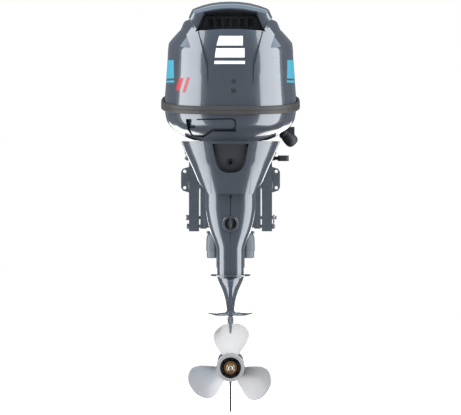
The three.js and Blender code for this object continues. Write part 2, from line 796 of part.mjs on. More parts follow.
/** A bevel gear on the Y axis: its toothed face looks along -side, towards the pinion. */
function bevelGear(side) {
  const ring = (outline, off) => outline.map(([x, z]) => [x, CRANK_Y + side * off, PROP_Z + z]);
  const face = skin([
    ring(toothed(GEAR_TEETH, 20.5, 20.5), 13.4),
    ring(toothed(GEAR_TEETH, 31.5, 33), 19),
    ring(circle(33, 3 * GEAR_TEETH), 23),
  ]);
  const [near, far] = [CRANK_Y + side * 21, CRANK_Y + side * 39].sort((a, b) => a - b);
  return cut(
    join(face, bar("y", 16, near, far, { z: PROP_Z }, 24)),
    bar("y", 9.6, -300, -100, { z: PROP_Z }, 24),
  );
}

piece(
  crank,
  "pinion_gear",
  cut(
    skin([
      toothed(PINION_TEETH, 9.6, 10.8).map(([x, y]) => [x, CRANK_Y + y, -563]),
      toothed(PINION_TEETH, 12.6, 14.6).map(([x, y]) => [x, CRANK_Y + y, -553]),
      circle(14, 3 * PINION_TEETH).map(([x, y]) => [x, CRANK_Y + y, -549]),
      circle(14, 3 * PINION_TEETH).map(([x, y]) => [x, CRANK_Y + y, -540]),
    ]),
    bar("z", 8.5 + 0.3, -600, -500, { y: CRANK_Y }, 20),
  ),
  STEEL,
);

const vane = (i) => {
  const t = (i * Math.PI) / 3;
  const arm = [[6, -2], [20, -2.2], [21.5, 0], [20, 2.2], [6, 2]].map(([u, v]) => [
    u * Math.cos(t) - v * Math.sin(t),
    CRANK_Y + u * Math.sin(t) + v * Math.cos(t),
  ]);
  return slab("z", arm, -321, -303);
};
piece(
  crank,
  "water_pump_impeller",
  cut(
    join(bar("z", 12.5, -321, -303, { y: CRANK_Y }, 24), ...[0, 1, 2, 3, 4, 5].map(vane)),
    bar("z", 8.8, -340, -290, { y: CRANK_Y }, 20),
  ),
  RUBBER,
);

const cam = assembly();
piece(
  cam,
  "cam_sprocket",
  cut(
    join(
      slab("z", toothed(24, 46.5, 48.5), 323, 339).translate([0, CAM_Y, 0]),
      bar("z", 11, 284, 330, { y: CAM_Y }, 20),
    ),
    ...[0, 1, 2, 3].map((i) => {
      const t = (Math.PI * i) / 2;
      return bar("z", 9, 310, 350, { x: 29 * Math.cos(t), y: CAM_Y + 29 * Math.sin(t) }, 16);
    }),
  ),
  STEEL,
);

// ---------------------------------------------------------------- gearcase
const STRUT = [
  [-600, 15, -118, -322, 0, 1.9],
  [-560, 14, -122, -322, 0, 1.9],
  [-520, 13, -126, -320, 0, 1.9],
  [PLATE_Z, 16, -130, -322, 0, 1.9],
  [-395, 20, -132, -322, 0, 1.9],
  [-358, 30, -134, -312, 0, 2],
  [-340, 38, -135, -298, 0, 2.2],
  [HOUSING_FOOT_Z - GAP, 42, -135, -292, 0, 2.6],
];
const TORPEDO = [
  [0, -92], [8, -93], [17, -99], [27, -112], [36, -132], [43, -160], [46.5, -190], [47, -220],
  [46, -270], [44, -300], [41.5, -334], [0, -334],
];

function gearcase() {
  const strut = loft(STRUT, 0, 20);
  const torpedo = turned("y", TORPEDO, { z: PROP_Z }, 40);
  const ridge = slab("x", [[-318, -333], [-352, -425], [-360, -431], [-290, -431], [-290, -333]], -5.5, 5.5);
  const plate = loft(
    [[PLATE_Z - 1.5, 64, -112, -472, 0, 2.6], [PLATE_Z + 1.5, 67, -110, -474, 0, 2.6],
      [PLATE_Z + 3.5, 62, -114, -470, 0, 2.6]], 0, 28);
  const plateRoot = loft([[PLATE_Z - 8, 12, -126, -412, 0, 2], [PLATE_Z, 24, -122, -418, 0, 2],
    [PLATE_Z + 10, 12, -128, -408, 0, 2]], 0, 20);
  const skeg = slab("x", [[-150, -620], [-196, -660], [-236, -706], [-262, SKEG_Z], [-322, SKEG_Z],
    [-334, -706], [-326, -640], [-322, -620]], -3, 3);
  const skegRoot = loft([[-660, 3, -200, -322, 0, 2], [-618, 13, -150, -320, 0, 2]], 0, 20);
  const tabSeat = box([-9, 9], [-466, -424], [PLATE_Z - 2, PLATE_Z + 6]);
  const screen = (x) => box([x - 8, x + 8], [-196, -150], [-520, -488]);
  const body = join(strut, torpedo, ridge, plate, plateRoot, skeg, skegRoot, tabSeat);
  return cut(
    body,
    bar("y", 36, -345, -150, { z: PROP_Z }, 32),
    bar("z", 11, -600, -300, { y: CRANK_Y }, 20),
    bar("z", 17.5, -580, -535, { y: CRANK_Y }, 24),
    bar("z", 6, -590, -300, { y: -160 }, 16),
    screen(18),
    screen(-18),
  );
}
piece(motor, "gearcase", gearcase(), GLOSS);

const waterScreen = (side) => {
  const plate = slab("x", [[-194, -518], [-152, -518], [-152, -490], [-194, -490]], 10.5, 14);
  const slots = [-511, -504, -497].map((z) => box([5, 20], [-190, -156], [z - 1.6, z + 1.6]));
  const made = cut(plate, ...slots);
  return side > 0 ? made : mirrorX(made);
};
piece(motor, "starboard_water_screen", waterScreen(1), PLASTIC);
piece(motor, "port_water_screen", waterScreen(-1), PLASTIC);

piece(
  motor,
  "trim_tab",
  skin(
    [[PLATE_Z - 2.6, 7, 22], [PLATE_Z - 9, 6, 22], [-470, 4, 17], [-484, 2.4, 12]].map(([z, half, reach]) =>
      circle(1, 14).map(([c, s]) => [half * c, -446 + reach * s, z]),
    ),
  ),
  ZINC,
);

const carrierProfile = [
  [0, -246.5], [35.6, -246.5], [35.6, -256], [26, -262], [26, -318], [35.6, -324], [35.6, -333], [0, -333],
];
piece(
  motor,
  "bearing_carrier",
  cut(
    turned("y", carrierProfile, { z: PROP_Z }, 32),
    bar("y", 9.6, -350, -230, { z: PROP_Z }, 24),
    ...[0, 1, 2, 3].map((i) => {
      const t = Math.PI / 4 + (i * Math.PI) / 2;
      return bar("y", 6, -350, -240, { x: 29 * Math.cos(t), z: PROP_Z + 29 * Math.sin(t) }, 14);
    }),
  ),
  CAST,
);

piece(
  motor,
  "water_pump_housing",
  cut(
    turned("z", [[0, HOUSING_FOOT_Z + GAP], [31, HOUSING_FOOT_Z + GAP], [31, -318], [28, -314], [26, -296],
      [16, -290], [14, -276], [0, -276]], { y: CRANK_Y }, 28),
    bar("z", 22.6, -340, -300, { y: CRANK_Y }, 28),
    bar("z", 10, -340, -260, { y: CRANK_Y }, 20),
  ),
  CAST,
);

// ---------------------------------------------------------------- propeller train
const screwTrain = assembly();
const gears = assembly();

piece(gears, "forward_gear", bevelGear(1), STEEL);
piece(gears, "reverse_gear", bevelGear(-1), STEEL);

piece(
  screwTrain,
  "propeller_shaft",
  turned("y", [[0, -156], [6, -156], [9, -159], [9, -409], [7.5, -411], [7.5, -452], [6, -454], [0, -454]],
    { z: PROP_Z }, 24),
  STEEL,
);
const dogs = (y0, y1) =>
  [0, 1, 2].map((i) => {
    const t = (2 * Math.PI * i) / 3;
    return bar("y", 3, y0, y1, { x: 11.5 * Math.cos(t), z: PROP_Z + 11.5 * Math.sin(t) }, 10);
  });
piece(
  screwTrain,
  "dog_clutch",
  cut(
    join(bar("y", 14.5, -209, -194, { z: PROP_Z }, 28), ...dogs(-211, -192)),
    bar("y", 9.4, -230, -180, { z: PROP_Z }, 24),
  ),
  STEEL,
);
piece(
  screwTrain,
  "thrust_washer",
  cut(
    turned("y", [[0, -334.6], [20, -334.6], [20, -337], [16, -345], [0, -345]], { z: PROP_Z }, 28),
    bar("y", 9.4, -360, -320, { z: PROP_Z }, 24),
  ),
  BRASS,
);
piece(
  screwTrain,
  "propeller_bush",
  cut(bar("y", 16.6, -410, -345.6, { z: PROP_Z }, 28), bar("y", 9.4, -420, -330, { z: PROP_Z }, 24)),
  RUBBER,
);

/** One blade, standing up along +Z: helical sections from the hub to the rounded tip. */
function blade() {
  const middle = (PROP.front + PROP.rear) / 2;
  const stations = [
    // radius, chord from leading to trailing edge as angles about the shaft, thickness
    [34, -34, 34, 8],
    [48, -33, 33, 7],
    [64, -33, 33, 6],
    [84, -33, 32, 5],
    [101, -31, 29, 4],
    [114, -28, 23, 3.2],
    [123, -22, 14, 2.6],
    [PROP.radius, -12, 2, 1.8],
  ];
  return skin(
    stations.map(([r, lead, trail, thick]) => {
      const face = [];
      const steps = 6;
      const count = 2 * steps;
      for (let i = 0; i < count; i++) {
        const front = i < steps;
        const u = front ? i / steps : 2 - i / steps;
        const angle = THREE.MathUtils.degToRad(lead + (trail - lead) * u);
        const helix = (angle / (2 * Math.PI)) * PROP.pitch;
        const belly = (front ? 1 : -0.25) * thick * Math.sin(Math.PI * u) * 0.75;
        const rake = (r - 34) * 0.12;
        face.push([
          -r * Math.sin(angle),
          middle + 6 - helix - rake + belly * 0.8,
          PROP_Z + r * Math.cos(angle),
        ]);
      }
      return face;
    }),
  );
}

function propeller() {
  const at = { z: PROP_Z };
  const length = [PROP.front, PROP.rear];
  const barrel = cut(
    turned("y", [[0, length[0]], [PROP.hub - 1, length[0]], [PROP.hub, -342], [PROP.hub, -400], [39, -428],
      [39.5, length[1]], [0, length[1]]], at, 40),
    turned("y", [[0, -330], [35, -330], [35, -420], [33, -445], [0, -445]], at, 36),
  );
  const sleeve = cut(bar("y", 22, -412, -346, at, 28), bar("y", 17, -430, -330, at, 28));
  const ribs = [0, 1, 2].map((i) => {
    const t = Math.PI / 2 + Math.PI + (2 * Math.PI * i) / PROP.blades;
    const rib = box([19, 37], [-410, -348], [-3.5, 3.5]);
    return rib.rotate([0, (-t * 180) / Math.PI, 0]).translate([0, 0, PROP_Z]);
  });
  const core = bar("y", 36, -460, -320, at, 36);
  const blades = [0, 1, 2].map((i) =>
    blade().translate([0, 0, -PROP_Z]).rotate([0, (360 * i) / PROP.blades, 0]).translate([0, 0, PROP_Z])
      .subtract(core),
  );
  return join(barrel, sleeve, ...ribs, ...blades);
}
piece(screwTrain, "propeller", propeller(), WHITE_METAL);

piece(
  screwTrain,
  "propeller_nut",
  cut(
    join(
      bar("y", 20, -416, -412.8, { z: PROP_Z }, 28),
      bar("y", 14, -436, -415, { z: PROP_Z }, 6),
      bar("y", 12, -442, -430, { z: PROP_Z }, 24),
    ),
    bar("y", 7.9, -460, -400, { z: PROP_Z }, 24),
    ...[0, 1, 2].map((i) =>
      box([-30, 30], [-450, -437], [-1.8, 1.8]).rotate([0, 60 * i, 0]).translate([0, 0, PROP_Z]),
    ),
  ),
  BRASS,
);

const shift = assembly();
piece(shift, "shift_rod", bar("z", 4, -570, 56, { y: -160 }, 12), STEEL);

// ---------------------------------------------------------------- tiller
const tiller = assembly();
const GRIP = { x: 0, z: 80 };

function tillerArm() {
  const knuckle = circle(12.5, 12, [HINGE.y, HINGE.z], 1.4, 3.4);
  const tongue = slab("x", [...knuckle, [80, 60], [84, 86]], -13.4, 13.4);
  const arm = skin(
    [[70, 20, 16], [90, 22, 18], [180, 19, 17], [290, 17, 17], [300, 15, 15]].map(([y, half, tall]) =>
      circle(1, 16).map(([c, s]) => {
        const square = (v) => Math.sign(v) * Math.abs(v) ** 0.6;
        return [half * square(c), y, 78 + tall * square(s)];
      }),
    ),
  );
  return cut(
    join(tongue, arm, bar("x", 5, -28, 28, HINGE, 20), bar("y", 8, 296, 420, GRIP, 20)),
    bore("x", 8.8, 9, 40, { y: 150, z: 80 }, 20),
  );
}
piece(tiller, "tiller_arm", tillerArm(), PLASTIC);

function twistGrip() {
  const ribbed = Array.from({ length: 3 }, (_, i) => [
    [17.5, 308 + 40 * i],
    [19, 312 + 40 * i],
    [19, 338 + 40 * i],
    [17.5, 342 + 40 * i],
  ]).flat();
  return cut(
    turned("y", [[0, 301], [20, 301], [20, 305], ...ribbed, [19, 427], [12, 432], [0, 432]], GRIP, 24),
    bore("y", 8.4, 290, 421, GRIP, 20),
  );
}
piece(tiller, "twist_grip", twistGrip(), RUBBER);
piece(tiller, "stop_button", turned("x", [[0, 12.8], [8.4, 12.8], [8.4, 22], [7, 25], [0, 25]],
  { y: 150, z: 80 }, 24), paint("#a3201d", 0.4, 0));

export default model;
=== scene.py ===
"""Looks of an outboard motor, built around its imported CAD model.

Tables are in millimetres in the CAD frame: +X starboard, +Y forward into the boat, +Z up, with the
origin at the middle of the transom's top aft edge. Blender objects are in metres in the same frame.
"""
import json
import math

import bmesh
import bpy
import numpy as np
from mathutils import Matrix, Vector
from mathutils.bvhtree import BVHTree


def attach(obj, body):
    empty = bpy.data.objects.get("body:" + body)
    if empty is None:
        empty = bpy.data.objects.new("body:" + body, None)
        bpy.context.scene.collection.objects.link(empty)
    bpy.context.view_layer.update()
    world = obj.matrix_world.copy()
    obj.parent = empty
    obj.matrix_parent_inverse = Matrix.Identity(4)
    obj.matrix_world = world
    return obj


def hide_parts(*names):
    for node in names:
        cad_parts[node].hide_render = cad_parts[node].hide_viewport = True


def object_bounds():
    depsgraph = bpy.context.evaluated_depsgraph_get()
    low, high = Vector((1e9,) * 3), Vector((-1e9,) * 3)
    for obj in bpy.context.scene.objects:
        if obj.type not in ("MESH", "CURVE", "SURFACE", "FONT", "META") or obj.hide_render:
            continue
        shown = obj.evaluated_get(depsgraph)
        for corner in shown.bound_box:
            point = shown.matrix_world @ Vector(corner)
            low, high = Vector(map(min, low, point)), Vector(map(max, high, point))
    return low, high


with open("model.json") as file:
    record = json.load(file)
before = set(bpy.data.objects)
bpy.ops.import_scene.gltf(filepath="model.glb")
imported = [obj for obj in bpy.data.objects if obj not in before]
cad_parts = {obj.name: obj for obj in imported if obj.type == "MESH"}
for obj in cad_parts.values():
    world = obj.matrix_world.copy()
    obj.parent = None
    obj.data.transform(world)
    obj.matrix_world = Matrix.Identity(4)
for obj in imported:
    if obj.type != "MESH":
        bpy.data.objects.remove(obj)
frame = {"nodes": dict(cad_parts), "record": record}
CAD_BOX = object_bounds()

MM = 0.001
LOW, HIGH = CAD_BOX
SLOTS = {part["node"]: part["material_slot"] for part in frame["record"]["subparts"]}
BODY = {node: body for body, nodes in frame["record"]["behaviour"]["bodies"].items() for node in nodes}

# ------------------------------------------------------------------ driving dimensions
CRANK_Y = -205  # crankshaft and drive shaft
PROP_Z = -586  # propeller shaft
PLATE_Z = -431  # anti-ventilation plate
SKEG_Z = -720  # lowest edge of the skeg
FLANGE_Z = 78.8  # top of the drive shaft housing
FOOT_Z = -326  # where the drive shaft housing meets the gearcase
BAND_Z, BAND_SLOPE, BAND_HALF, BAND_FRONT, BAND_REAR = 190.2, 0.077, 205, 50, -544
COWL_SQUARENESS = 3.1
WALL = 4  # of the cowls and the apron
OUTSIDE = -560  # y past the rear of everything, where a cut through the rear starts

# axes along X
TILT = (0, 8, 36)
THRUST = (0, -40, -149)
TIE = (0, -20, -175)
SHIFT = (0, -50, 112)
LOCK = (0, -35, 28)

# axes along Y
PROP = (0, 0, PROP_Z)
RELIEF = (0, 0, -165.5)
NOZZLE = (0, 0, 15.5)
GRIP_Z = 80
SCREW_X, SCREW_Z = 109, -50
COWL_SCREW_X = 9
COWL_SCREWS = (  # label, z, y of the head's seat, y of the recess's bottom
    ("lower", 226, -528, -526.5),
    ("upper", 253, -526.6, -525.3),
)


# ------------------------------------------------------------------ mesh tools
def add(name, verts, faces):
    """A mesh object from points in millimetres."""
    mesh = bpy.data.meshes.new(name)
    mesh.from_pydata([tuple(c * MM for c in v) for v in verts], [], faces)
    mesh.update()
    obj = bpy.data.objects.new(name, mesh)
    bpy.context.scene.collection.objects.link(obj)
    return obj


def face_out(obj):
    """Turns every face of a closed mesh outward."""
    bm = bmesh.new()
    bm.from_mesh(obj.data)
    bmesh.ops.recalc_face_normals(bm, faces=bm.faces)
    bm.to_mesh(obj.data)
    bm.free()
    return obj


def skin(name, rings, caps=True, loop=False):
    """A surface over rings of equally many points, capped at both ends. loop joins the last to the first."""
    n, count = len(rings[0]), len(rings)
    faces = []
    for k in range(count if loop else count - 1):
        for i in range(n):
            a, b = k * n + i, k * n + (i + 1) % n
            c, d = ((k + 1) % count) * n + (i + 1) % n, ((k + 1) % count) * n + i
            faces.append((a, b, c, d))
    if caps and not loop:
        faces += [tuple(range(n))[::-1], tuple(range((count - 1) * n, count * n))]
    return face_out(add(name, [p for ring in rings for p in ring], faces))


def circle(r, count):
    """Points round a circle about the origin."""
    angles = [2 * math.pi * i / count for i in range(count)]
    return [(r * math.cos(t), r * math.sin(t)) for t in angles]


def place(axis, along, u, v, at):
    """A point at (u, v) across an axis and `along` it, from the point `at`."""
    x, y, z = at
    if axis == "x":
        return (along, y + u, z + v)
    if axis == "y":
        return (x + u, along, z + v)
    return (x + u, y + v, along)


LEAST_RADIUS = 0.01  # in place of a point on the axis


def turned(name, axis, profile, at=(0, 0, 0), sides=64, closed=False):
    """A turned piece from (radius, place along the axis) points; closed joins the last to the first."""
    rings = []
    for r, h in profile:
        rings.append([place(axis, h, u, v, at) for u, v in circle(max(r, LEAST_RADIUS), sides)])
    return skin(name, rings, caps=not closed, loop=closed)


def bar(axis, r, start, end, at=(0, 0, 0), sides=64):
    return turned("bar", axis, [(r, start), (r, end)], at, sides)


def slab(axis, outline, start, end):
    """An outline drawn across an axis, extruded along it."""
    rings = [[place(axis, h, u, v, (0, 0, 0)) for u, v in outline] for h in (start, end)]
    return skin("slab", rings)


def box(xs, ys, zs):
    return slab("x", [(ys[0], zs[0]), (ys[1], zs[0]), (ys[1], zs[1]), (ys[0], zs[1])], *xs)


def rounded(outline, radius, steps=5):
    """An outline with its corners rounded off, by one radius or by a list of one for each corner."""
    out, n = [], len(outline)
    for i, p in enumerate(outline):
        a, b, c = Vector(outline[i - 1]), Vector(p), Vector(outline[(i + 1) % n])
        u, v = a - b, c - b
        r = radius[i] if isinstance(radius, list) else radius
        reach = min(r, u.length * 0.45, v.length * 0.45)
        start, end = b + u.normalized() * reach, b + v.normalized() * reach
        for k in range(steps + 1):
            t = k / steps
            q = start * (1 - t) ** 2 + b * (2 * t * (1 - t)) + end * t * t
            out.append((q.x, q.y))
    return out


def widened(outline, d):
    """An outline with every side moved out by d."""
    n = len(outline)
    area = sum(p[0] * outline[(i + 1) % n][1] - p[1] * outline[(i + 1) % n][0]
               for i, p in enumerate(outline))
    side = math.copysign(d, area)
    out = []
    for i, p in enumerate(outline):
        a, b, c = Vector(outline[i - 1]), Vector(p), Vector(outline[(i + 1) % n])
        e, f = (b - a).normalized(), (c - b).normalized()
        m = Vector((e.y + f.y, -e.x - f.x)).normalized()
        k = side / max(0.4, m.x * e.y - m.y * e.x)
        out.append((p[0] + m.x * k, p[1] + m.y * k))
    return out


def settled(obj):
    """The object with its modifiers applied."""
    graph = bpy.context.evaluated_depsgraph_get()
    mesh = bpy.data.meshes.new_from_object(obj.evaluated_get(graph))
    obj.modifiers.clear()
    obj.data = mesh
    return obj


def combine(operation, obj, tools):
    """A boolean of a closed object with closed tools, which it uses up."""
    for tool in tools:
        modifier = obj.modifiers.new("combine", "BOOLEAN")
        modifier.operation, modifier.object, modifier.solver = operation, tool, "MANIFOLD"
    settled(obj)
    for tool in tools:
        bpy.data.objects.remove(tool)
    return obj


def cut(obj, *tools):
    return combine("DIFFERENCE", obj, tools)


def join(obj, *tools):
    return combine("UNION", obj, tools)


def common(obj, *tools):
    return combine("INTERSECT", obj, tools)


def copied(obj):
    other = bpy.data.objects.new(obj.name, obj.data.copy())
    bpy.context.scene.collection.objects.link(other)
    return other


def mirrored(obj):
    """The object's mirror image across the middle plane, as a new object."""
    other = copied(obj)
    for v in other.data.vertices:
        v.co.x = -v.co.x
    other.data.flip_normals()
    return other


# ------------------------------------------------------------------ lofted casings
def section(row, grow=0.0, count=144, facet=None):
    """A rounded plan section: height, half width, front y, rear y, slope along y, squareness.

    facet is (angle, depth): a flat taken off both rear corners, facing that angle from aft."""
    z, half, front, rear, slope, power = row
    mid, reach = (front + rear) / 2, (front - rear) / 2 + grow
    points = []
    for i in range(count):
        t = 2 * math.pi * (i + 0.5) / count
        c, s = math.cos(t), math.sin(t)
        r = (abs(c) ** power + abs(s) ** power) ** (-1 / power)
        x, y = (half + grow) * r * c, reach * r * s
        if facet and y < 0:
            nx, ny = math.sin(facet[0]), -math.cos(facet[0])
            q = power / (power - 1)
            limit = (abs((half + grow) * nx) ** q + abs(reach * ny) ** q) ** (1 / q) - facet[1]
            over = max(0.0, abs(x) * nx + y * ny - limit)
            x, y = math.copysign(abs(x) - over * nx, x), y - over * ny
        points.append((x, mid + y, z + slope * y))
    return points


def eased(rows, step=8.0):
    """Rows every few millimetres, on a curve through the given rows that never overshoots them."""
    rows = np.array(rows, float)
    h, d = rows[:, 0], np.diff(rows, axis=0)
    slope = d / np.diff(h)[:, None]
    tangent = np.zeros_like(rows)
    same = slope[:-1] * slope[1:] > 0
    w0, w1 = np.diff(h)[:-1, None], np.diff(h)[1:, None]
    with np.errstate(divide="ignore", invalid="ignore"):
        mean = (3 * (w0 + w1)) / ((2 * w1 + w0) / slope[:-1] + (w1 + 2 * w0) / slope[1:])
    tangent[1:-1] = np.where(same, mean, 0)
    tangent[0], tangent[-1] = slope[0], slope[-1]
    out = []
    for k in range(len(rows) - 1):
        span = h[k + 1] - h[k]
        for i in range(max(1, round(span / step))):
            t = i / max(1, round(span / step))
            a, b = (1 + 2 * t) * (1 - t) ** 2, t * (1 - t) ** 2
            c, e = t * t * (3 - 2 * t), t * t * (t - 1)
            out.append(a * rows[k] + b * span * tangent[k] + c * rows[k + 1] + e * span * tangent[k + 1])
    out.append(rows[-1])
    return [tuple(r) for r in out]


def loft(rows, grow=0.0, count=144, facet=None, step=8.0, name="loft"):
    """grow is a number or a function of height."""
    growth = grow if callable(grow) else lambda z: grow
    return skin(name, [section(r, growth(r[0]), count, facet) for r in eased(rows, step)])


def through(rows, below, above):
    """The same rows carried straight on past the ends."""
    out = list(rows)
    if below:
        out = [(rows[0][0] - below, *rows[0][1:])] + out
    if above:
        out += [(rows[-1][0] + above, *rows[-1][1:])]
    return out


# ------------------------------------------------------------------ materials
def node(tree, kind, links=None, **values):
    """A shader node with its links, and with values for its sockets or its settings."""
    made = tree.nodes.new("ShaderNode" + kind)
    for key, value in values.items():
        if key in made.inputs.keys():
            made.inputs[key].default_value = value
        else:
            setattr(made, key.lower(), value)
    for socket, source in (links or {}).items():
        tree.links.new(source, made.inputs[socket])
    return made


COAT_ROUGHNESS, COAT_IOR = 0.04, 1.5
WEAR_STARTS, WEAR_FULL = 0.36, 0.50  # on the scale of an edge's sharpness times the scuffs


def surface(name, color, roughness, metallic=0.0, coat=0.0, grain=(900, 0.05), mottle=0.06, brush=None,
            wear=None, sheen=0.5):
    """A procedural material. color is linear RGB; grain is (frequency per metre, height in mm); mottle
    is how far the colour varies in patches; brush is a stretch of the grain along the axes; wear is the
    colour that shows through on worn edges; sheen is the specular level."""
    mat = bpy.data.materials.new(name)
    mat.use_nodes = True
    tree = mat.node_tree
    shader = tree.nodes["Principled BSDF"]
    shader.inputs["Metallic"].default_value = metallic
    shader.inputs["Specular IOR Level"].default_value = sheen
    if coat:
        shader.inputs["Coat Weight"].default_value = coat
        shader.inputs["Coat Roughness"].default_value = COAT_ROUGHNESS
        shader.inputs["Coat IOR"].default_value = COAT_IOR
    where = tree.nodes.new("ShaderNodeTexCoord").outputs["Object"]

    patches = node(tree, "TexNoise", {"Vector": where}, Scale=14.0, Detail=4.0)
    light = [min(1.0, c * (1 + mottle)) for c in color] + [1]
    dark = [c * (1 - mottle) for c in color] + [1]
    tone = node(tree, "ValToRGB", {"Fac": patches.outputs["Fac"]})
    tone.color_ramp.elements[0].color, tone.color_ramp.elements[1].color = dark, light
    tone.color_ramp.elements[0].position, tone.color_ramp.elements[1].position = 0.35, 0.65
    shade = tone.outputs["Color"]
    if wear:
        edge = node(tree, "NewGeometry")
        scuffs = node(tree, "TexNoise", {"Vector": where}, Scale=160.0, Detail=6.0)
        rise = node(tree, "Math", {0: edge.outputs["Pointiness"], 1: scuffs.outputs["Fac"]},
                    operation="MULTIPLY")
        mask = node(tree, "MapRange", {"Value": rise.outputs["Value"]})
        mask.inputs["From Min"].default_value = WEAR_STARTS
        mask.inputs["From Max"].default_value = WEAR_FULL
        worn = node(tree, "Mix", data_type="RGBA")
        clean_color, worn_color = (socket for socket in worn.inputs if socket.type == "RGBA")
        worn_color.default_value = (*wear, 1)
        tree.links.new(shade, clean_color)
        tree.links.new(mask.outputs["Result"], worn.inputs["Factor"])
        shade = next(socket for socket in worn.outputs if socket.type == "RGBA")
    tree.links.new(shade, shader.inputs["Base Color"])

    smear = node(tree, "TexNoise", {"Vector": where}, Scale=35.0, Detail=5.0)
    gloss = node(tree, "MapRange", {"Value": smear.outputs["Fac"]})
    gloss.inputs["To Min"].default_value = max(0.02, roughness - 0.06)
    gloss.inputs["To Max"].default_value = min(1.0, roughness + 0.06)
    tree.links.new(gloss.outputs["Result"], shader.inputs["Roughness"])

    if brush:
        stretch = node(tree, "Mapping", {"Vector": where})
        stretch.inputs["Scale"].default_value = brush
        where = stretch.outputs["Vector"]
    frequency, height = grain
    fine = node(tree, "TexNoise", {"Vector": where}, Scale=float(frequency), Detail=3.0)
    bump = node(tree, "Bump", {"Height": fine.outputs["Fac"]})
    bump.inputs["Strength"].default_value = 1.0
    bump.inputs["Distance"].default_value = height * MM
    tree.links.new(bump.outputs["Normal"], shader.inputs["Normal"])
    return mat


METAL_GREY = (0.050, 0.059, 0.073)
MATERIALS = {
    "cowl_paint": surface("cowl_paint", METAL_GREY, 0.30, metallic=0.55, coat=1.0,
                          grain=(140, 0.014), mottle=0.03),
    "gloss_grey_paint": surface("gloss_grey_paint", METAL_GREY, 0.30, metallic=0.55, coat=1.0,
                                grain=(140, 0.014), mottle=0.04),
    "satin_grey_paint": surface("satin_grey_paint", (0.060, 0.072, 0.086), 0.44, metallic=0.35,
                                grain=(700, 0.05), mottle=0.10, wear=(0.20, 0.21, 0.22)),
    "dark_plastic": surface("dark_plastic", (0.012, 0.013, 0.016), 0.50, grain=(1500, 0.04), mottle=0.12,
                            sheen=0.3),
    "trim_rubber": surface("trim_rubber", (0.020, 0.018, 0.017), 0.55, grain=(1100, 0.05), mottle=0.18,
                           sheen=0.35),
    "steel": surface("steel", (0.42, 0.43, 0.45), 0.30, metallic=1.0, grain=(900, 0.012),
                     brush=(1, 1, 9), mottle=0.06),
    "cast_alloy": surface("cast_alloy", (0.32, 0.33, 0.35), 0.48, metallic=0.9, grain=(650, 0.12),
                          mottle=0.14),
    "dark_iron": surface("dark_iron", (0.022, 0.023, 0.025), 0.42, metallic=0.3, grain=(500, 0.08),
                         mottle=0.15, wear=(0.16, 0.15, 0.15)),
    "propeller_paint": surface("propeller_paint", (0.20, 0.20, 0.205), 0.40, metallic=0.25, coat=0.25,
                               grain=(160, 0.015), mottle=0.04),
    "bronze": surface("bronze", (0.42, 0.26, 0.12), 0.32, metallic=1.0, grain=(700, 0.03), mottle=0.16),
    "anode_alloy": surface("anode_alloy", (0.050, 0.058, 0.070), 0.55, metallic=0.4, grain=(420, 0.15),
                           mottle=0.18),
    "red_plastic": surface("red_plastic", (0.42, 0.016, 0.012), 0.32, coat=0.4, grain=(500, 0.015)),
}
ACCENTS = {
    "white_accent": surface("white_accent", (0.52, 0.52, 0.53), 0.45, grain=(400, 0.01), mottle=0.02),
    "red_accent": surface("red_accent", (0.22, 0.003, 0.009), 0.45, grain=(400, 0.01), mottle=0.04),
    "teal_accent": surface("teal_accent", (0.022, 0.17, 0.235), 0.45, grain=(400, 0.01), mottle=0.04),
}


# ------------------------------------------------------------------ finishing pieces
SHARP = math.radians(38)


def dress(obj, name, body, slot, replaces=(), material=None):
    """Names a finished piece, smooths it up to its sharp edges, and ties it to the frame."""
    obj.name = obj.data.name = name
    obj.data.materials.clear()
    obj.data.materials.append(material or MATERIALS[slot])
    obj.data.shade_smooth()
    obj.data.set_sharp_from_angle(angle=SHARP)
    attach(obj, body)
    if replaces:
        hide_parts(*replaces)
    return obj


def stand_for(obj, cad_node):
    """A finer piece in place of one CAD node, on its body and in its material slot."""
    return dress(obj, cad_node + "_fine", BODY[cad_node], SLOTS[cad_node], (cad_node,))


# ------------------------------------------------------------------ trim band
BAND_PROFILE = [  # height above the band's middle, distance out from its widest line
    (-11, -8.6), (-12, -7.5), (-12, -2.5), (-10.5, -0.6), (-8, 0), (-2.2, 0), (-1.2, -0.9),
    (-0.2, -0.9), (0.8, 0), (7.6, -0.2), (10.4, -1.2), (12, -3.2), (12, -7.5), (11, -8.6),
]


def band_ring(rise, grow):
    return section((BAND_Z + rise, BAND_HALF, BAND_FRONT, BAND_REAR, BAND_SLOPE, COWL_SQUARENESS), grow, 160)


stand_for(skin("band", [band_ring(*p) for p in BAND_PROFILE], loop=True), "cowl_trim_band")


# ------------------------------------------------------------------ upper cowl
STRIP = (math.radians(70), 1.9)  # flat taken off the rear corners of the cowls
UPPER = [
    (190.6, 196, 41, -535, BAND_SLOPE, COWL_SQUARENESS),
    (216, 193.5, 38, -533, 0.07, COWL_SQUARENESS),
    (318, 186, 20, -521, 0.066, COWL_SQUARENESS),
    (366, 182.5, 5, -513, 0.065, COWL_SQUARENESS),
    (369, 180.5, 2, -510.5, 0.065, COWL_SQUARENESS),
    (396, 158, -22, -495, 0.045, 3.0),
    (402, 153, -30, -490, 0.03, 3.0),
    (405, 149, -35, -487, 0.02, 3.0),
    (428, 138, -58, -480, 0, 3.0),
    (432, 134.5, -64, -478, 0, 3.0),
    (437, 122, -78, -474, 0, 2.9),
    (441, 112, -90, -468, 0, 2.8),
]
PANEL = [  # the rear panel between the two fins, which carries on up to the inlet
    (240, 191, 30, -530.5, 0.068, COWL_SQUARENESS),
    (318, 186.5, 20, -522, 0.05, COWL_SQUARENESS),
    (366, 178, 5, -512.5, 0.02, COWL_SQUARENESS),
    (416, 166, -20, -497, 0, COWL_SQUARENESS),
]
INLET_FRONT = -394
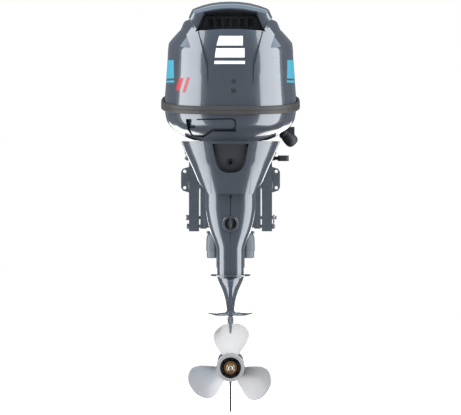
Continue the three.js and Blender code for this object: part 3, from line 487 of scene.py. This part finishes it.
INLET = [(-97, 398.5), (-86, 402), (-45, 405.5), (0, 406.5), (45, 405.5), (86, 402), (97, 398.5),
         (74, 448.5), (40, 453), (0, 455), (-40, 453), (-74, 448.5)]
PANEL_EDGE = [(67.5, 236), (67.5, 304), (97, 405)]  # starboard edge of the rear panel, from below
CREASE = [(-66.8, 252), (-64.9, 252), (-66.2, 292), (-93.4, 398), (-95.4, 398), (-68.2, 292)]
FIN = [(-67.5, 246), (-95, 290), (-119, 337), (-117.5, 354), (-129, 389), (-113.5, 411), (-95, 402),
       (-67.5, 304)]
FIN_FOOT, FIN_RISE, FIN_HEIGHT = 246, 95, 5.2  # where a fin starts, how soon it is at its full height
HOOD_FOOT = 396
HOOD_ARCH = [(0, 481), (28, 480), (56, 476.5), (82, 470.5), (104, 463.2), (111, 460), (114.5, 455),
             (122.5, 438), (105, 414), (97, 398)]
HOOD_LINE = [  # y, rise of the crown above its height in the arch, share of the arch's width
    (-476, -15.5, 0.93), (-471.4, -6, 0.962), (-463, -1.4, 0.986), (-452, 1.2, 0.997), (-430, 4, 1),
    (-390, 6.6, 1), (-330, 7.9, 0.995), (-260, 7.4, 0.98), (-200, 4.6, 0.95), (-150, -1.5, 0.90),
    (-110, -11, 0.83), (-80, -22, 0.76), (-56, -36, 0.66), (-40, -52, 0.56),
]


def duct_tool(outline, rear, front, flare=None):
    """A cutting body along Y through an outline, wider at the rear by flare(x, z)."""
    wide = outline
    if flare:
        wide = [tuple(p + d for p, d in zip(point, flare(*point))) for point in outline]
    return skin("duct", [[(x, y, z) for x, z in ring] for y, ring in ((rear, wide), (front, outline))])


def hood():
    """The arched hood over the air inlet, swept forward along the crown and down to the front."""
    arch, crown_sides, full_rise = [], 4, 80
    for i, (start, end) in enumerate(zip(HOOD_ARCH, HOOD_ARCH[1:])):
        steps = 4 if i < crown_sides else 2
        arch += [tuple(Vector(start).lerp(Vector(end), k / steps)) for k in range(steps)]
    arch.append(HOOD_ARCH[-1])
    ring = arch + [(-x, z) for x, z in reversed(arch[1:])]
    rings = []
    for y, rise, share in eased(HOOD_LINE, 10):
        rings.append([(x * share, y, max(HOOD_FOOT, z + rise * min(1, (z - HOOD_FOOT) / full_rise)))
                      for x, z in ring])
    return skin("hood", rings)


def panel_loft(grow, count=176, step=7):
    return loft(PANEL, grow, count, STRIP, step)


def fin_height(z):
    """How far a fin stands out of the rear panel's surface."""
    return 0.4 + FIN_HEIGHT * min(1, max(0, (z - FIN_FOOT) / FIN_RISE))


def lip_flare(x, z):
    """How much wider the inlet is at its rear: most at the middle of its upper edge."""
    return (x * 0.075, 19 * (1 - abs(x) / 260)) if z > 430 else (x * 0.075, -1.5)


def upper_cowl():
    body = loft(UPPER, count=176, facet=STRIP, step=7)
    panel_outline = PANEL_EDGE + [(-x, z) for x, z in reversed(PANEL_EDGE)]
    panel = common(panel_loft(0.4), slab("y", panel_outline, OUTSIDE, -400))
    fin = common(panel_loft(fin_height), slab("y", FIN, OUTSIDE, -380))
    body = join(body, panel, fin, mirrored(fin), hood())
    under = [(z - (WALL if z > 350 else 0), half - WALL, front - WALL, rear + WALL, slope, power)
             for z, half, front, rear, slope, power in UPPER[:-2]]
    inside = cut(loft(through(under, 20, 0), count=120), duct_tool(widened(INLET, 3), -540, INLET_FRONT - 3))
    recesses = [bar("y", 7.5, OUTSIDE, bottom, (COWL_SCREW_X, 0, z), 32) for _, z, _, bottom in COWL_SCREWS]
    depth = 2.2
    rind = cut(panel_loft(9, 120, 8), loft(through(PANEL, 10, 10), -depth, count=120, facet=STRIP))
    groove = common(rind, slab("y", CREASE, OUTSIDE, -440))
    mouth, lip = duct_tool(INLET, OUTSIDE, INLET_FRONT), duct_tool(INLET, -500, -452, lip_flare)
    return cut(body, inside, mouth, lip, mirrored(groove), groove, *recesses)


cowl = stand_for(upper_cowl(), "upper_cowl")


def inlet_painted_shade():
    """Dark lining of the air inlet, closed at its front end: painted shade standing for the dark depth of the
    inlet.
    """
    outer = duct_tool(widened(INLET, -0.3), -474, INLET_FRONT - 0.5)
    return cut(outer, duct_tool(widened(INLET, -1.6), -500, INLET_FRONT - 2))


# painted shade: a dark sheet lines the inlet and closes it at the front, so the opening reads black
dress(inlet_painted_shade(), "inlet_painted_shade", "cover", "dark_plastic")


def cowl_screw(z, seat):
    """A recessed screw in the rear panel, with a hexagon socket."""
    at = (COWL_SCREW_X, 0, z)
    head = turned("head", "y", [(0, seat + 3), (6.6, seat + 3), (6.6, seat - 0.4), (5.8, seat - 1.2),
                                (0, seat - 1.2)], at, 40)
    socket = [[place("y", h, u, v, at) for u, v in circle(2.9, 6)] for h in (seat - 5, seat + 1)]
    return cut(head, skin("socket", socket))


for label, z, seat, _ in COWL_SCREWS:
    dress(cowl_screw(z, seat), "cowl_screw_" + label, "cover", "steel", material=MATERIALS["dark_iron"])

COWL_SKIN = BVHTree.FromPolygons([v.co.copy() for v in cowl.data.vertices],
                                 [tuple(face.vertices) for face in cowl.data.polygons])


def patch(corners, toward, pitch=6, lift=0.3):
    """A thin film on the cowl, sampled every pitch. corners are (x or y, z), round from the lower left;
    toward is the direction in which they are projected onto the cowl."""
    aim = Vector(toward)
    a, b, c, d = (Vector(p) for p in corners)
    rows, columns = (max(2, math.ceil((end - a).length / pitch)) for end in (d, b))
    rings = []
    for i in range(rows + 1):
        left, right = a.lerp(d, i / rows), b.lerp(c, i / rows)
        over, under = [], []
        for j in range(columns + 1):
            u, z = left.lerp(right, j / columns)
            start = Vector((u, -700, z)) if aim.y else Vector((-400 * aim.x, u, z))
            hit = COWL_SKIN.ray_cast(start * MM, aim)[0] / MM
            over.append(hit - aim * lift)
            under.append(hit + aim * 0.6)
        rings.append(over + under[::-1])
    return skin("patch", rings)


FORWARD, TO_PORT, TO_STARBOARD = (0, 1, 0), (-1, 0, 0), (1, 0, 0)
SIDE_BLOCK = [(-440, 262), (-120, 262), (-120, 316), (-424, 316)]
SIDE_LINE = [(-446, 250), (-120, 250), (-120, 256), (-444, 256)]
FILMS = [  # plain blocks of colour: name, accent, direction of projection, corners
    ("rear_bar_upper", "white_accent", FORWARD, [(-41, 357), (36, 357), (36, 385), (-33, 385)]),
    ("rear_bar_middle", "white_accent", FORWARD, [(-46, 322), (41, 322), (41, 349), (-42, 349)]),
    ("rear_bar_lower", "white_accent", FORWARD, [(-47, 303), (42, 303), (42, 312), (-47, 312)]),
    ("corner_slash_left", "red_accent", FORWARD, [(-163, 226), (-149, 226), (-137, 262), (-151, 262)]),
    ("corner_slash_right", "red_accent", FORWARD, [(-141, 220), (-132, 220), (-118, 264), (-127, 264)]),
    ("starboard_block", "teal_accent", TO_PORT, SIDE_BLOCK),
    ("starboard_line", "teal_accent", TO_PORT, SIDE_LINE),
    ("port_block", "teal_accent", TO_STARBOARD, SIDE_BLOCK),
    ("port_line", "teal_accent", TO_STARBOARD, SIDE_LINE),
]
for label, accent, toward, corners in FILMS:
    dress(patch(corners, toward), label, "cover", SLOTS["upper_cowl"], material=ACCENTS[accent])


# ------------------------------------------------------------------ lower cowl and latch
LOWER = [
    (84, 112, -20, -440, 0.03, 2.5),
    (92, 132, -8, -462, 0.035, 2.6),
    (106, 152, 10, -490, 0.04, 2.8),
    (122, 174, 26, -512, 0.05, 2.9),
    (145, 189, 36, -527, 0.06, 3.0),
    (189.2, 196, 41, -535, BAND_SLOPE, COWL_SQUARENESS),
]
MOUTH = [(-131, 142.5), (3, 144.5), (13, 142), (17, 131), (16, 106), (-50, 106), (-79, 88.5),
         (-112, 88.5), (-125, 112)]  # of the recess that the latch lever lies in
LATCH = [(-103.7, 139), (3, 141.5), (10, 138), (13, 131), (12, 121), (4, 115), (-54, 115), (-80, 94),
         (-109, 94), (-120, 115), (-103.7, 117)]
LATCH_CORNERS = [2, 4, 5, 4, 5, 6, 8, 8, 5, 4, 2]


def lower_inside(depth):
    """The space inside a lower cowl whose wall is that thick, open at the top."""
    rows = [[z, half - depth, front - depth, rear + depth, *rest] for z, half, front, rear, *rest in LOWER]
    rows[0][0] += depth * 0.9
    if rows[0][0] > rows[1][0]:
        rows[1][0] = rows[0][0] + 1
    return loft(through(rows, 0, 20))


def lower_cowl():
    shell = cut(loft(LOWER, facet=STRIP, step=5), lower_inside(WALL))
    pocket_wall = common(cut(loft(LOWER, facet=STRIP, step=5), lower_inside(16)),
                         slab("y", widened(MOUTH, 3), OUTSIDE, -380))
    pocket = cut(slab("y", rounded(MOUTH, 3), OUTSIDE, -420), lower_inside(13))
    engine_way = box((-100, 100), (-314, -116), (60, 100))
    shift_hole, fuel_hole = bar("x", 9, 100, 190, SHIFT), bar("y", 9, -20, 80, (-70, 0, 150))
    return cut(join(shell, pocket_wall), pocket, engine_way, shift_hole, fuel_hole)


def latch_lever():
    band = cut(loft(LOWER, -1, step=5), lower_inside(8))
    return common(band, slab("y", rounded(LATCH, LATCH_CORNERS), OUTSIDE, -425))


stand_for(lower_cowl(), "lower_cowl")
stand_for(latch_lever(), "cowl_latch_lever")


# ------------------------------------------------------------------ apron
APRON_TOP = 78.2
APRON = [
    (-77, 82, -150, -338, 0, 3.6),
    (-38, 97, -158, -352, 0, 3.5),
    (-2, 112, -166, -366, 0, 3.4),
    (37, 130, -174, -386, 0, 3.2),
    (APRON_TOP, 147, -182, -408, 0, 3.0),
]
HOUSING = [
    (FOOT_Z, 42, -135, -290, 0, 3.6),
    (-242, 42, -135, -290, 0, 3.6),
    (-220, 48, -136, -291, 0, 3.6),
    (-192, 59, -137, -293, 0, 3.6),
    (-156, 69, -138, -296, 0, 3.6),
    (-114, 75, -139, -300, 0, 3.6),
    (-79, 75, -140, -302, 0, 3.6),
    (FLANGE_Z, 72, -140, -306, 0, 3.6),
]
RECESS = [(-43.5, 70), (-40, 14), (-30, -6), (-12, -14), (12, -14), (30, -6), (40, 14), (43.5, 70)]
RECESS_CORNERS = [1, 10, 12, 12, 12, 12, 10, 1]
RECESS_FRAME = [(-66, 78), (-52, 9), (-38, -12), (-14, -22), (14, -22), (38, -12), (52, 9), (66, 78)]
FRAME_CORNERS = [1, 12, 12, 14, 14, 12, 12, 1]
RAIL = [(-100, APRON_TOP), (-78, APRON_TOP), (-60, -30), (-57, -77), (-66, -77), (-76, -30)]
CHAMFER = [(97, -38), (65, -78), (65, -120), (160, -120), (160, -38)]
REACH = (-460, -320)  # y between which the apron's rear wall lies


def apron_loft(grow=0.0):
    return loft(APRON, grow, count=176, step=6)


def apron_core(depth):
    """What is left of the apron's shape under a wall that thick, carried on past both ends."""
    return loft(through(APRON, 10, 10), -depth)


def rear_apron():
    recess = rounded(RECESS, RECESS_CORNERS)
    shell = cut(apron_loft(), apron_core(WALL))
    rim = common(cut(apron_loft(), apron_core(15)), slab("y", widened(recess, 4), *REACH))
    lip = common(cut(apron_loft(), apron_core(15)), box((-52, 52), REACH, (70, 76)))
    frame_face = common(apron_loft(1.6), slab("y", rounded(RECESS_FRAME, FRAME_CORNERS), *REACH))
    rail = cut(common(apron_loft(1.3), slab("y", RAIL, -460, -250)), apron_core(3))
    body = join(shell, rim, lip, cut(frame_face, apron_core(3)), mirrored(rail), rail)
    draft = duct_tool(recess, -420, -352, lambda x, z: (x * 0.30, 0 if z > 60 else -7))
    open_front = box((-200, 200), (-200, 0), (-100, 100))
    flange_seat = box((-104.5, 104.5), (-312.5, -137), (67.5, 90))
    chamfer = slab("y", CHAMFER, -460, -150)
    return cut(body, slab("y", recess, -470, -300), draft, open_front, mirrored(chamfer), chamfer,
               loft(HOUSING, 0.8), flange_seat)


def recess_panel():
    band = cut(loft(APRON, -15.4), apron_core(19))
    return cut(common(band, slab("y", widened(rounded(RECESS, 8), 3.7), *REACH)),
               bar("y", 11.4, -420, -300, NOZZLE))


stand_for(rear_apron(), "rear_apron")
stand_for(recess_panel(), "recess_panel")
stand_for(turned("nozzle", "y", [(6, -350), (0, -350), (0, -345), (10.4, -345), (11, -345.6),
                                 (11, -358), (10.2, -361), (8.6, -363), (7, -363), (6.2, -362)],
                 NOZZLE, closed=True), "pilot_water_nozzle")


# ------------------------------------------------------------------ drive shaft housing
def drive_shaft_housing():
    shell = loft(HOUSING, count=160)
    flange = cut(slab("z", rounded([(-104, -312), (104, -312), (104, -137), (-104, -137)], 10), 68, FLANGE_Z),
                 box((-66, 66), (-292, -150), (60, 90)))
    splash = loft([(-322, 59, -126, -301, 0, 2.4), (-320.8, 61, -124, -303, 0, 2.4),
                   (-317.2, 61, -124, -303, 0, 2.4), (-316, 59, -126, -301, 0, 2.4)], step=20)
    boss = turned("boss", "y", [(24.5, -284), (24.5, -298), (22.5, -300.5), (19, -300.5)], RELIEF)
    seam = slab("z", [(-0.9, -320), (0.9, -320), (0.9, -296), (0, -289), (-0.9, -296)], -314, -78)
    hole = turned("hole", "y", [(16, -260), (16, -297), (18.5, -300.6), (18.5, -330)], RELIEF)
    body = join(cut(shell, seam), flange, splash, boss)
    return cut(body, loft(through(HOUSING, 10, 10), -6), hole, bar("y", 3.5, -330, -270, (0, 0, -85)))


stand_for(drive_shaft_housing(), "drive_shaft_housing")
for label, x in (("port", -31), ("starboard", 31)):
    lug = turned("lug", "z", [(5.4, -334), (6, -333.2), (6, -328), (4, -327), (4, -321)], (x, -262, 0), 32)
    dress(lug, "foot_bolt_" + label, BODY["drive_shaft_housing"], "steel", material=MATERIALS["dark_iron"])


def mount_cover():
    """A rounded cover over the starboard lower rubber mount, with a narrower foot below it."""
    root, turn = 40, 9  # x inside the housing; how much shorter the cover is at its outer edge

    def ring(z, outer, rear, front, r):
        return [(x, y, z) for x, y in
                rounded([(root, rear), (outer, rear + turn), (outer, front), (root, front)], r, 8)]

    top = [ring(z, 72 - inset, -214 + inset, -150 - inset, 12) for z, inset in
           ((-246, 0), (-238, 0), (-210, 0.6), (-202, 2.2), (-196, 5.5), (-193, 10), (-192, 16))]
    foot = [ring(z, 70.5 - inset, -212 + inset, -152 - inset, 11) for z, inset in
            ((-268, 4), (-267, 1.5), (-264, 0.2), (-246, 0.2), (-245, 1))]
    return cut(join(skin("top", top), skin("foot", foot), bar("z", 5, -196, -188, (66, -165, 0), 32)),
               loft(HOUSING, 0.8))


cover_piece = mount_cover()
stand_for(mirrored(cover_piece), "port_mount_cover")
stand_for(cover_piece, "starboard_mount_cover")


# ------------------------------------------------------------------ gearcase
STRUT = [
    (-600, 15, -118, -322, 0, 1.9), (-560, 14, -122, -322, 0, 1.9), (-520, 13, -126, -320, 0, 1.9),
    (PLATE_Z, 16, -130, -322, 0, 1.9), (-395, 20, -132, -322, 0, 1.9), (-358, 30, -134, -312, 0, 2.0),
    (-340, 38, -135, -298, 0, 2.2), (FOOT_Z - 0.4, 42, -135, -292, 0, 2.8),
]
TORPEDO = [(0, -92), (4, -92.2), (8, -93), (12.5, -95.3), (17, -99), (22, -104.8), (27, -112),
           (31.5, -120.5), (36, -132), (40, -145), (43, -160), (45.2, -174), (46.5, -190), (47, -220),
           (46.7, -245), (46, -270), (44, -300), (43, -318), (42, -332), (41, -334), (0, -334)]
SKEG_HALF = 3


def gearcase():
    strut = loft(STRUT, count=120, step=10)
    torpedo = turned("torpedo", "y", TORPEDO, PROP, 96)
    ridge = slab("x", [(-318, -333), (-352, -425), (-360, PLATE_Z), (-290, PLATE_Z), (-290, -333)], -5.5, 5.5)
    plate = loft([(PLATE_Z - 1.5, 64, -112, -472, 0, 2.6), (PLATE_Z + 0.4, 66.5, -110.5, -473.5, 0, 2.6),
                  (PLATE_Z + 1.5, 67, -110, -474, 0, 2.6), (PLATE_Z + 2.8, 66, -111, -473, 0, 2.6),
                  (PLATE_Z + 3.5, 62, -114, -470, 0, 2.6)], count=140, step=4)
    root = loft([(PLATE_Z - 8, 12, -126, -412, 0, 2), (PLATE_Z - 3, 17, -124, -415, 0, 2),
                 (PLATE_Z, 24, -122, -418, 0, 2), (PLATE_Z + 3, 18, -124, -414, 0, 2),
                 (PLATE_Z + 10, 12, -128, -408, 0, 2)], count=80, step=3)
    fin_edge = [(-150, -620), (-196, -660), (-236, -706), (-262, SKEG_Z), (-322, SKEG_Z),
                (-334, -706), (-326, -640), (-322, -620)]
    skeg = slab("x", rounded(fin_edge, [1, 20, 14, 10, 9, 9, 20, 1]), -SKEG_HALF, SKEG_HALF)
    skeg_root = loft([(-664, SKEG_HALF, -200, -322, 0, 2), (-640, 6, -176, -321, 0, 2),
                      (-618, 13, -150, -320, 0, 2)], count=60, step=6)
    seat = slab("z", rounded([(-9, -466), (9, -466), (9, -424), (-9, -424)], 5), PLATE_Z - 2, PLATE_Z + 6)
    body = join(strut, torpedo, ridge, plate, root, skeg, skeg_root, seat)
    gear_room = bar("y", 36, -345, -150, PROP)
    shaft_ways = [bar("z", r, low, high, (0, y, 0)) for r, low, high, y in
                  ((11, -600, -300, CRANK_Y), (17.5, -580, -535, CRANK_Y), (6, -590, -300, -160))]
    inlets = [box(xs, (-196, -150), (-520, -488)) for xs in ((10, 26), (-26, -10))]
    return cut(body, gear_room, *shaft_ways, *inlets)


stand_for(gearcase(), "gearcase")
TAB = [  # z, half thickness, half length
    (-484, 2.2, 12), (-482, 2.8, 13.4), (-470, 4, 17), (-452, 5, 20), (PLATE_Z - 9, 6, 22),
    (PLATE_Z - 2.6, 7, 22),
]
TAB_Y = -446
stand_for(skin("tab", [[(half * c, TAB_Y + reach * s, z) for c, s in circle(1, 40)]
                       for z, half, reach in TAB]), "trim_tab")


# ------------------------------------------------------------------ propeller
PROP_FRONT, PROP_REAR, HUB, PROP_RADIUS, PITCH, RAKE, BLADES = -337, -435, 41, 130, 280, 0.12, 3
BLADE_FOOT = 34
BLADE = [  # radius, leading and trailing edge as angles about the shaft, thickness
    (BLADE_FOOT, -34, 34, 8), (41, -33.4, 33.4, 7.5), (48, -33, 33, 7), (64, -33, 33, 6), (84, -33, 32, 5),
    (101, -31, 29, 4), (114, -28, 23, 3.2), (123, -22, 14, 2.6), (127.5, -17.5, 8.5, 2.2),
    (PROP_RADIUS, -11, 1, 1.5),
]


def blade():
    """The upright blade: a screw surface of the given pitch and rake, fuller on its front side."""
    middle, steps = (PROP_FRONT + PROP_REAR) / 2 + 6, 18
    rings = []
    for r, lead, trail, thick in eased(BLADE, 4):
        ring = []
        for i in range(2 * steps):
            front = i < steps
            u = i / steps if front else 2 - i / steps
            u = 0.5 - 0.5 * math.cos(math.pi * u) if 0 < u < 1 else u
            angle = math.radians(lead + (trail - lead) * u)
            belly = (1 if front else -0.25) * thick * math.sin(math.pi * u) ** 0.8 * 0.6 if 0 < u < 1 else 0
            depth = middle - angle / (2 * math.pi) * PITCH - (r - BLADE_FOOT) * RAKE + belly
            ring.append((-r * math.sin(angle), depth, PROP_Z + r * math.cos(angle)))
        rings.append(ring)
    return skin("blade", rings)


def spun(obj, angle):
    """The object turned about the propeller shaft."""
    c, s = math.cos(angle), math.sin(angle)
    for v in obj.data.vertices:
        x, z = v.co.x, v.co.z - PROP_Z * MM
        v.co.x, v.co.z = c * x + s * z, c * z - s * x + PROP_Z * MM
    return obj


def propeller():
    barrel = turned("hub", "y", [
        (35, PROP_FRONT + 0.6), (36, PROP_FRONT), (HUB - 2, PROP_FRONT), (HUB - 0.4, -339), (HUB, -342),
        (HUB, -400), (40.6, -415), (40.2, -428), (40.6, -433.4), (40, -434.7), (38.6, PROP_REAR),
        (32, PROP_REAR), (31, -434.2), (31, -430.6), (32, -429.4), (35, -428.6), (35, -345),
    ], PROP, 96, closed=True)
    blades = [cut(spun(blade(), 2 * math.pi * i / BLADES), bar("y", 38, -460, -320, PROP))
              for i in range(BLADES)]
    return join(barrel, *blades)


def hub_painted_shade():
    """The sleeve, ribs and lining of the exhaust way through the hub, in a dark material: painted shade
    inside the hub.
    """
    sleeve = turned("sleeve", "y", [(17, -346), (22, -346), (22, -411), (21, -412), (18, -412), (17, -411)],
                    PROP, closed=True)
    lining = turned("lining", "y", [(33.6, -345), (35.2, -345), (35.2, -428.4), (33.6, -428.4)], PROP, 96,
                    closed=True)
    ribs = [spun(box((19, 34.5), (-410, -348), (PROP_Z - 3.5, PROP_Z + 3.5)),
                 math.pi / 2 + 2 * math.pi * i / BLADES) for i in range(BLADES)]
    return join(sleeve, lining, *ribs)


stand_for(propeller(), "propeller")
# painted shade: the hub's inside gets a dark material in place of the propeller paint
dress(hub_painted_shade(), "propeller_hub_painted_shade", "propeller", "propeller_paint", material=MATERIALS["dark_iron"])


def propeller_nut():
    """A castle nut with its collar."""
    hexagon = skin("hex", [[place("y", h, u, v, PROP) for u, v in circle(14, 6)] for h in (-436, -415)])
    body = join(turned("collar", "y", [(19.5, -412.8), (20, -413.4), (20, -415.4), (19.5, -416)], PROP),
                hexagon, turned("castle", "y", [(12, -430), (12, -441), (11, -442)], PROP))
    slots = [spun(box((-30, 30), (-450, -437), (PROP_Z - 1.8, PROP_Z + 1.8)), math.radians(60 * i))
             for i in range(3)]
    return cut(body, bar("y", 7.9, -460, -400, PROP), *slots)


stand_for(propeller_nut(), "propeller_nut")


# ------------------------------------------------------------------ turned fasteners and controls
def soft_end(r, start, end, edge=0.8):
    """Profile of a round bar with softened ends."""
    return [(r - edge, start), (r, start + edge), (r, end - edge), (r - edge, end)]


def nut(r, start, end, at):
    """A hexagon nut along X with its corners turned off."""
    hexagon = skin("hex", [[place("x", h, u, v, at) for u, v in circle(r, 6)] for h in (start, end)])
    return common(hexagon, turned("cone", "x", [(r * 0.87, start), (r, start + r * 0.12), (r, end - r * 0.12),
                                                (r * 0.87, end)], at))


CHEEK = 124.4  # x of the face outside a clamp bracket that nuts and heads lie on

stand_for(join(turned("bolt", "x", soft_end(12.5, -137, 137, 1.5), TILT), nut(17, CHEEK, 134, TILT),
               nut(17, -134, -CHEEK, TILT)), "tilt_bolt")
stand_for(join(turned("bolt", "x", soft_end(5, -131, 134), TIE), nut(9, -131, -CHEEK, TIE),
               nut(9, CHEEK, 131, TIE)), "bracket_tie_bolt")
stand_for(turned("rod", "x", [(7.2, -133), (8, -132.2), (8, -125.2), (7.4, -CHEEK), (5, -CHEEK), (5, 138),
                              (3.4, 140)], THRUST), "thrust_rod")
clip_tail = slab("x", rounded([(-43, -166), (-37, -166), (-37, -154), (-43, -154)], 2.5), 127, 131)
stand_for(cut(join(turned("clip", "x", soft_end(9, 127, 131, 0.6), THRUST), clip_tail),
              bar("x", 5.4, 100, 150, THRUST)), "thrust_rod_clip")


def clamp_screw():
    at = (SCREW_X, 0, SCREW_Z)
    thread = [(8 if k % 2 else 6.9, 74 + 1.5 * k) for k in range(45)]
    screw = turned("screw", "y", [(7, 70.6), (8, 71.6), (8, 73)] + thread + [(8, 142), (8, 150)], at, 40)
    boss = turned("boss", "y", [(9, 145), (12, 147), (12, 158), (10.6, 160)], at, 48)
    arm = ((5.2, 0), (5, 10), (4.2, 30), (5.4, 33), (5.2, 35.4), (3, 36))
    arms = [turned("arm", "x", [(r, SCREW_X + side * h) for r, h in arm], (0, 153, SCREW_Z), 32)
            for side in (1, -1)]
    return join(screw, boss, *arms)


def clamp_pad():
    at = (SCREW_X, 0, SCREW_Z)
    dish = turned("pad", "y", [(19.4, 60), (20, 60.4), (22, 63), (22, 66.6), (21, 67.6), (14, 70),
                               (13, 70)], at, 56)
    return cut(dish, bar("y", 5, 66, 80, at))


starboard_pair = (clamp_screw(), clamp_pad())
port_pair = tuple(mirrored(piece) for piece in starboard_pair)
for side, (screw, pad) in (("starboard", starboard_pair), ("port", port_pair)):
    stand_for(screw, side + "_clamp_screw")
    stand_for(pad, side + "_clamp_pad")


def along(start, end, radii):
    """A round body across Y whose radius follows (share of the way, radius) between two places."""
    a, b = Vector(start), Vector(end)
    side = Vector((0, 1, 0))
    up = (b - a).normalized().cross(side)
    return skin("along", [[tuple(a.lerp(b, t) + side * p + up * q) for p, q in circle(r, 40)]
                          for t, r in radii])


knob = along((150, -50, 112), (192.7, -50, 69.3), [
    (0, 11), (0.12, 13), (0.25, 15.6), (0.45, 18.6), (0.62, 20), (0.76, 20), (0.86, 18.6), (0.94, 15),
    (0.985, 10), (1, 4)])
collar = along((156, -50, 106), (163, -50, 99), [(0, 14.6), (0.2, 16.6), (0.8, 17.6), (1, 16.4)])
block = slab("x", rounded([(-62, 98), (-38, 98), (-38, 122), (-62, 122)], 5), 172.5, 191)
stand_for(join(turned("pivot", "x", soft_end(8, 118, 176), SHIFT), block, knob, collar), "shift_lever")

paddle = slab("z", rounded([(141, -69), (174, -69), (174, -27), (141, -27)], [7, 9, 9, 4]), 19.4, 36.6)
grooves = [box((150 + 6 * k, 152 + 6 * k), (-66, -30), (35.4, 40)) for k in range(4)]
stand_for(join(cut(paddle, *grooves), turned("shaft", "x", soft_end(5, 66, 146), LOCK),
               turned("head", "x", soft_end(9, 60, 70), LOCK)), "tilt_lock_lever")

GRIP_START, GRIP_PITCH = 310, 7.6
GRIP_RIBS = [(r, GRIP_START + GRIP_PITCH * k + h) for k in range(15)
             for r, h in ((17.4, 0), (19, 2), (19, 5), (17.4, 6.6))]
GRIP_REAR = [(8.4, 301), (19, 301), (20, 302), (20, 305), (18, 307)]
GRIP_FRONT = [(18.6, 425), (17, 429), (12, 432), (0, 432), (0, 421), (8.4, 421)]
stand_for(turned("grip", "y", GRIP_REAR + GRIP_RIBS + GRIP_FRONT, (0, 0, GRIP_Z), closed=True), "twist_grip")
stand_for(turned("button", "x", [(8.4, 12.8), (8.4, 22.4), (7.8, 24), (6.4, 25), (3, 24.4)],
                 (0, 150, GRIP_Z), 48), "stop_button")


# ------------------------------------------------------------------ CAD nodes that keep their shape
EDGE_WIDTH, EDGE_ANGLE, WELD_REACH = 0.9, math.radians(44), 0.02


def refine(name, obj):
    """Softened edges, smooth round faces and a finish on a CAD node, whose own points stay as they are."""
    obj.data.materials.clear()
    obj.data.materials.append(MATERIALS[SLOTS[name]])
    obj.data.shade_smooth()
    weld = obj.modifiers.new("weld", "WELD")
    weld.merge_threshold = WELD_REACH * MM
    bevel = obj.modifiers.new("bevel", "BEVEL")
    bevel.width, bevel.segments = EDGE_WIDTH * MM, 2
    bevel.limit_method, bevel.angle_limit = "ANGLE", EDGE_ANGLE
    bevel.harden_normals = True
    normals = obj.modifiers.new("normals", "WEIGHTED_NORMAL")
    normals.keep_sharp = True


for name, obj in frame["nodes"].items():
    if not obj.hide_render:
        refine(name, obj)


# ------------------------------------------------------------------ stage, light and camera
def area_light(name, at, target, size, power, color=(1, 1, 1)):
    """A rectangular softbox that faces its target, with its size in metres and its power in watts."""
    data = bpy.data.lights.new(name, "AREA")
    data.shape, data.size, data.size_y, data.energy, data.color = "RECTANGLE", *size, power, color
    light = bpy.data.objects.new(name, data)
    bpy.context.scene.collection.objects.link(light)
    light.location = at
    light.rotation_euler = (Vector(target) - Vector(at)).to_track_quat("-Z", "Y").to_euler()
    return light


middle = (LOW + HIGH) / 2
AIM = Vector((0, -0.3, middle.z))


def polar(azimuth, distance, height):
    """A place round the motor: azimuth from dead aft towards starboard, in degrees."""
    a = math.radians(azimuth)
    return AIM + Vector((math.sin(a) * distance, -math.cos(a) * distance, height))


SKY_BLUE, PALE_BLUE = (0.62, 0.80, 1.0), (0.74, 0.87, 1.0)
for side, label in ((-1, "port"), (1, "starboard")):
    area_light(label + "_softbox", polar(side * 67, 3.0, -0.6), polar(0, 0, -0.6), (4.1, 7.4), 520)
area_light("top_softbox", polar(180, 0.2, 2.6), AIM, (5.2, 3.6), 125, PALE_BLUE)
area_light("front_softbox", polar(180, 3.6, -1.4), polar(0, 0, -0.4), (3.2, 2.4), 60)
area_light("aft_top_softbox", polar(0, 2.6, 3.5), AIM, (3.4, 1.6), 44, SKY_BLUE)
aft_fill = area_light("aft_fill", polar(0, 6.0, 1.6), AIM, (2.4, 2.4), 60)
aft_fill.visible_glossy = False

FLOOR_GAP, FLOOR_INNER, FLOOR_RADIUS = 0.5, 10, 1900
floor = skin("floor", [[(x, y, SKEG_Z - FLOOR_GAP) for x, y in circle(r, 96)]
                       for r in (FLOOR_INNER, FLOOR_RADIUS)], caps=False)
pale = surface("floor_white", (0.92, 0.92, 0.93), 0.8, grain=(60, 0.02), mottle=0.01)
glow = pale.node_tree.nodes["Principled BSDF"]
glow.inputs["Emission Color"].default_value = (1, 1, 1, 1)
glow.inputs["Emission Strength"].default_value = 0.8
floor.data.materials.append(pale)
floor.visible_glossy = floor.visible_diffuse = floor.visible_shadow = False

world = bpy.data.worlds.new("studio")
bpy.context.scene.world = world
world.use_nodes = True
sky = world.node_tree
backdrop = sky.nodes["Background"]
backdrop.inputs["Color"].default_value = (1, 1, 1, 1)
backdrop.inputs["Strength"].default_value = 1.0
dim = node(sky, "Background", Color=(0.80, 0.88, 1.0, 1), Strength=0.22)  # what lights the motor
seen = node(sky, "LightPath")
pick = node(sky, "MixShader", {0: seen.outputs["Is Camera Ray"], 1: dim.outputs[0], 2: backdrop.outputs[0]})
sky.links.new(pick.outputs[0], sky.nodes["World Output"].inputs["Surface"])
bpy.context.scene.view_settings.view_transform = "Standard"

IMAGE_WIDTH, IMAGE_HEIGHT = 461, 415
SENSOR = 36
DISTANCE = 20.0
ELEVATION = math.radians(0.4)
VIEW_HEIGHT = (HIGH.z - LOW.z) * IMAGE_HEIGHT / (IMAGE_HEIGHT - 1)
camera = bpy.data.objects.new("camera", bpy.data.cameras.new("camera"))
bpy.context.scene.collection.objects.link(camera)
camera.data.sensor_width = SENSOR
camera.data.lens = SENSOR * DISTANCE / (VIEW_HEIGHT * IMAGE_WIDTH / IMAGE_HEIGHT)
camera.data.clip_end = 10 * DISTANCE
target = Vector((0, -0.5, middle.z))
camera.location = target + Vector((0, -DISTANCE * math.cos(ELEVATION), DISTANCE * math.sin(ELEVATION)))
camera.rotation_euler = (target - camera.location).to_track_quat("-Z", "Y").to_euler()
bpy.context.scene.camera = camera
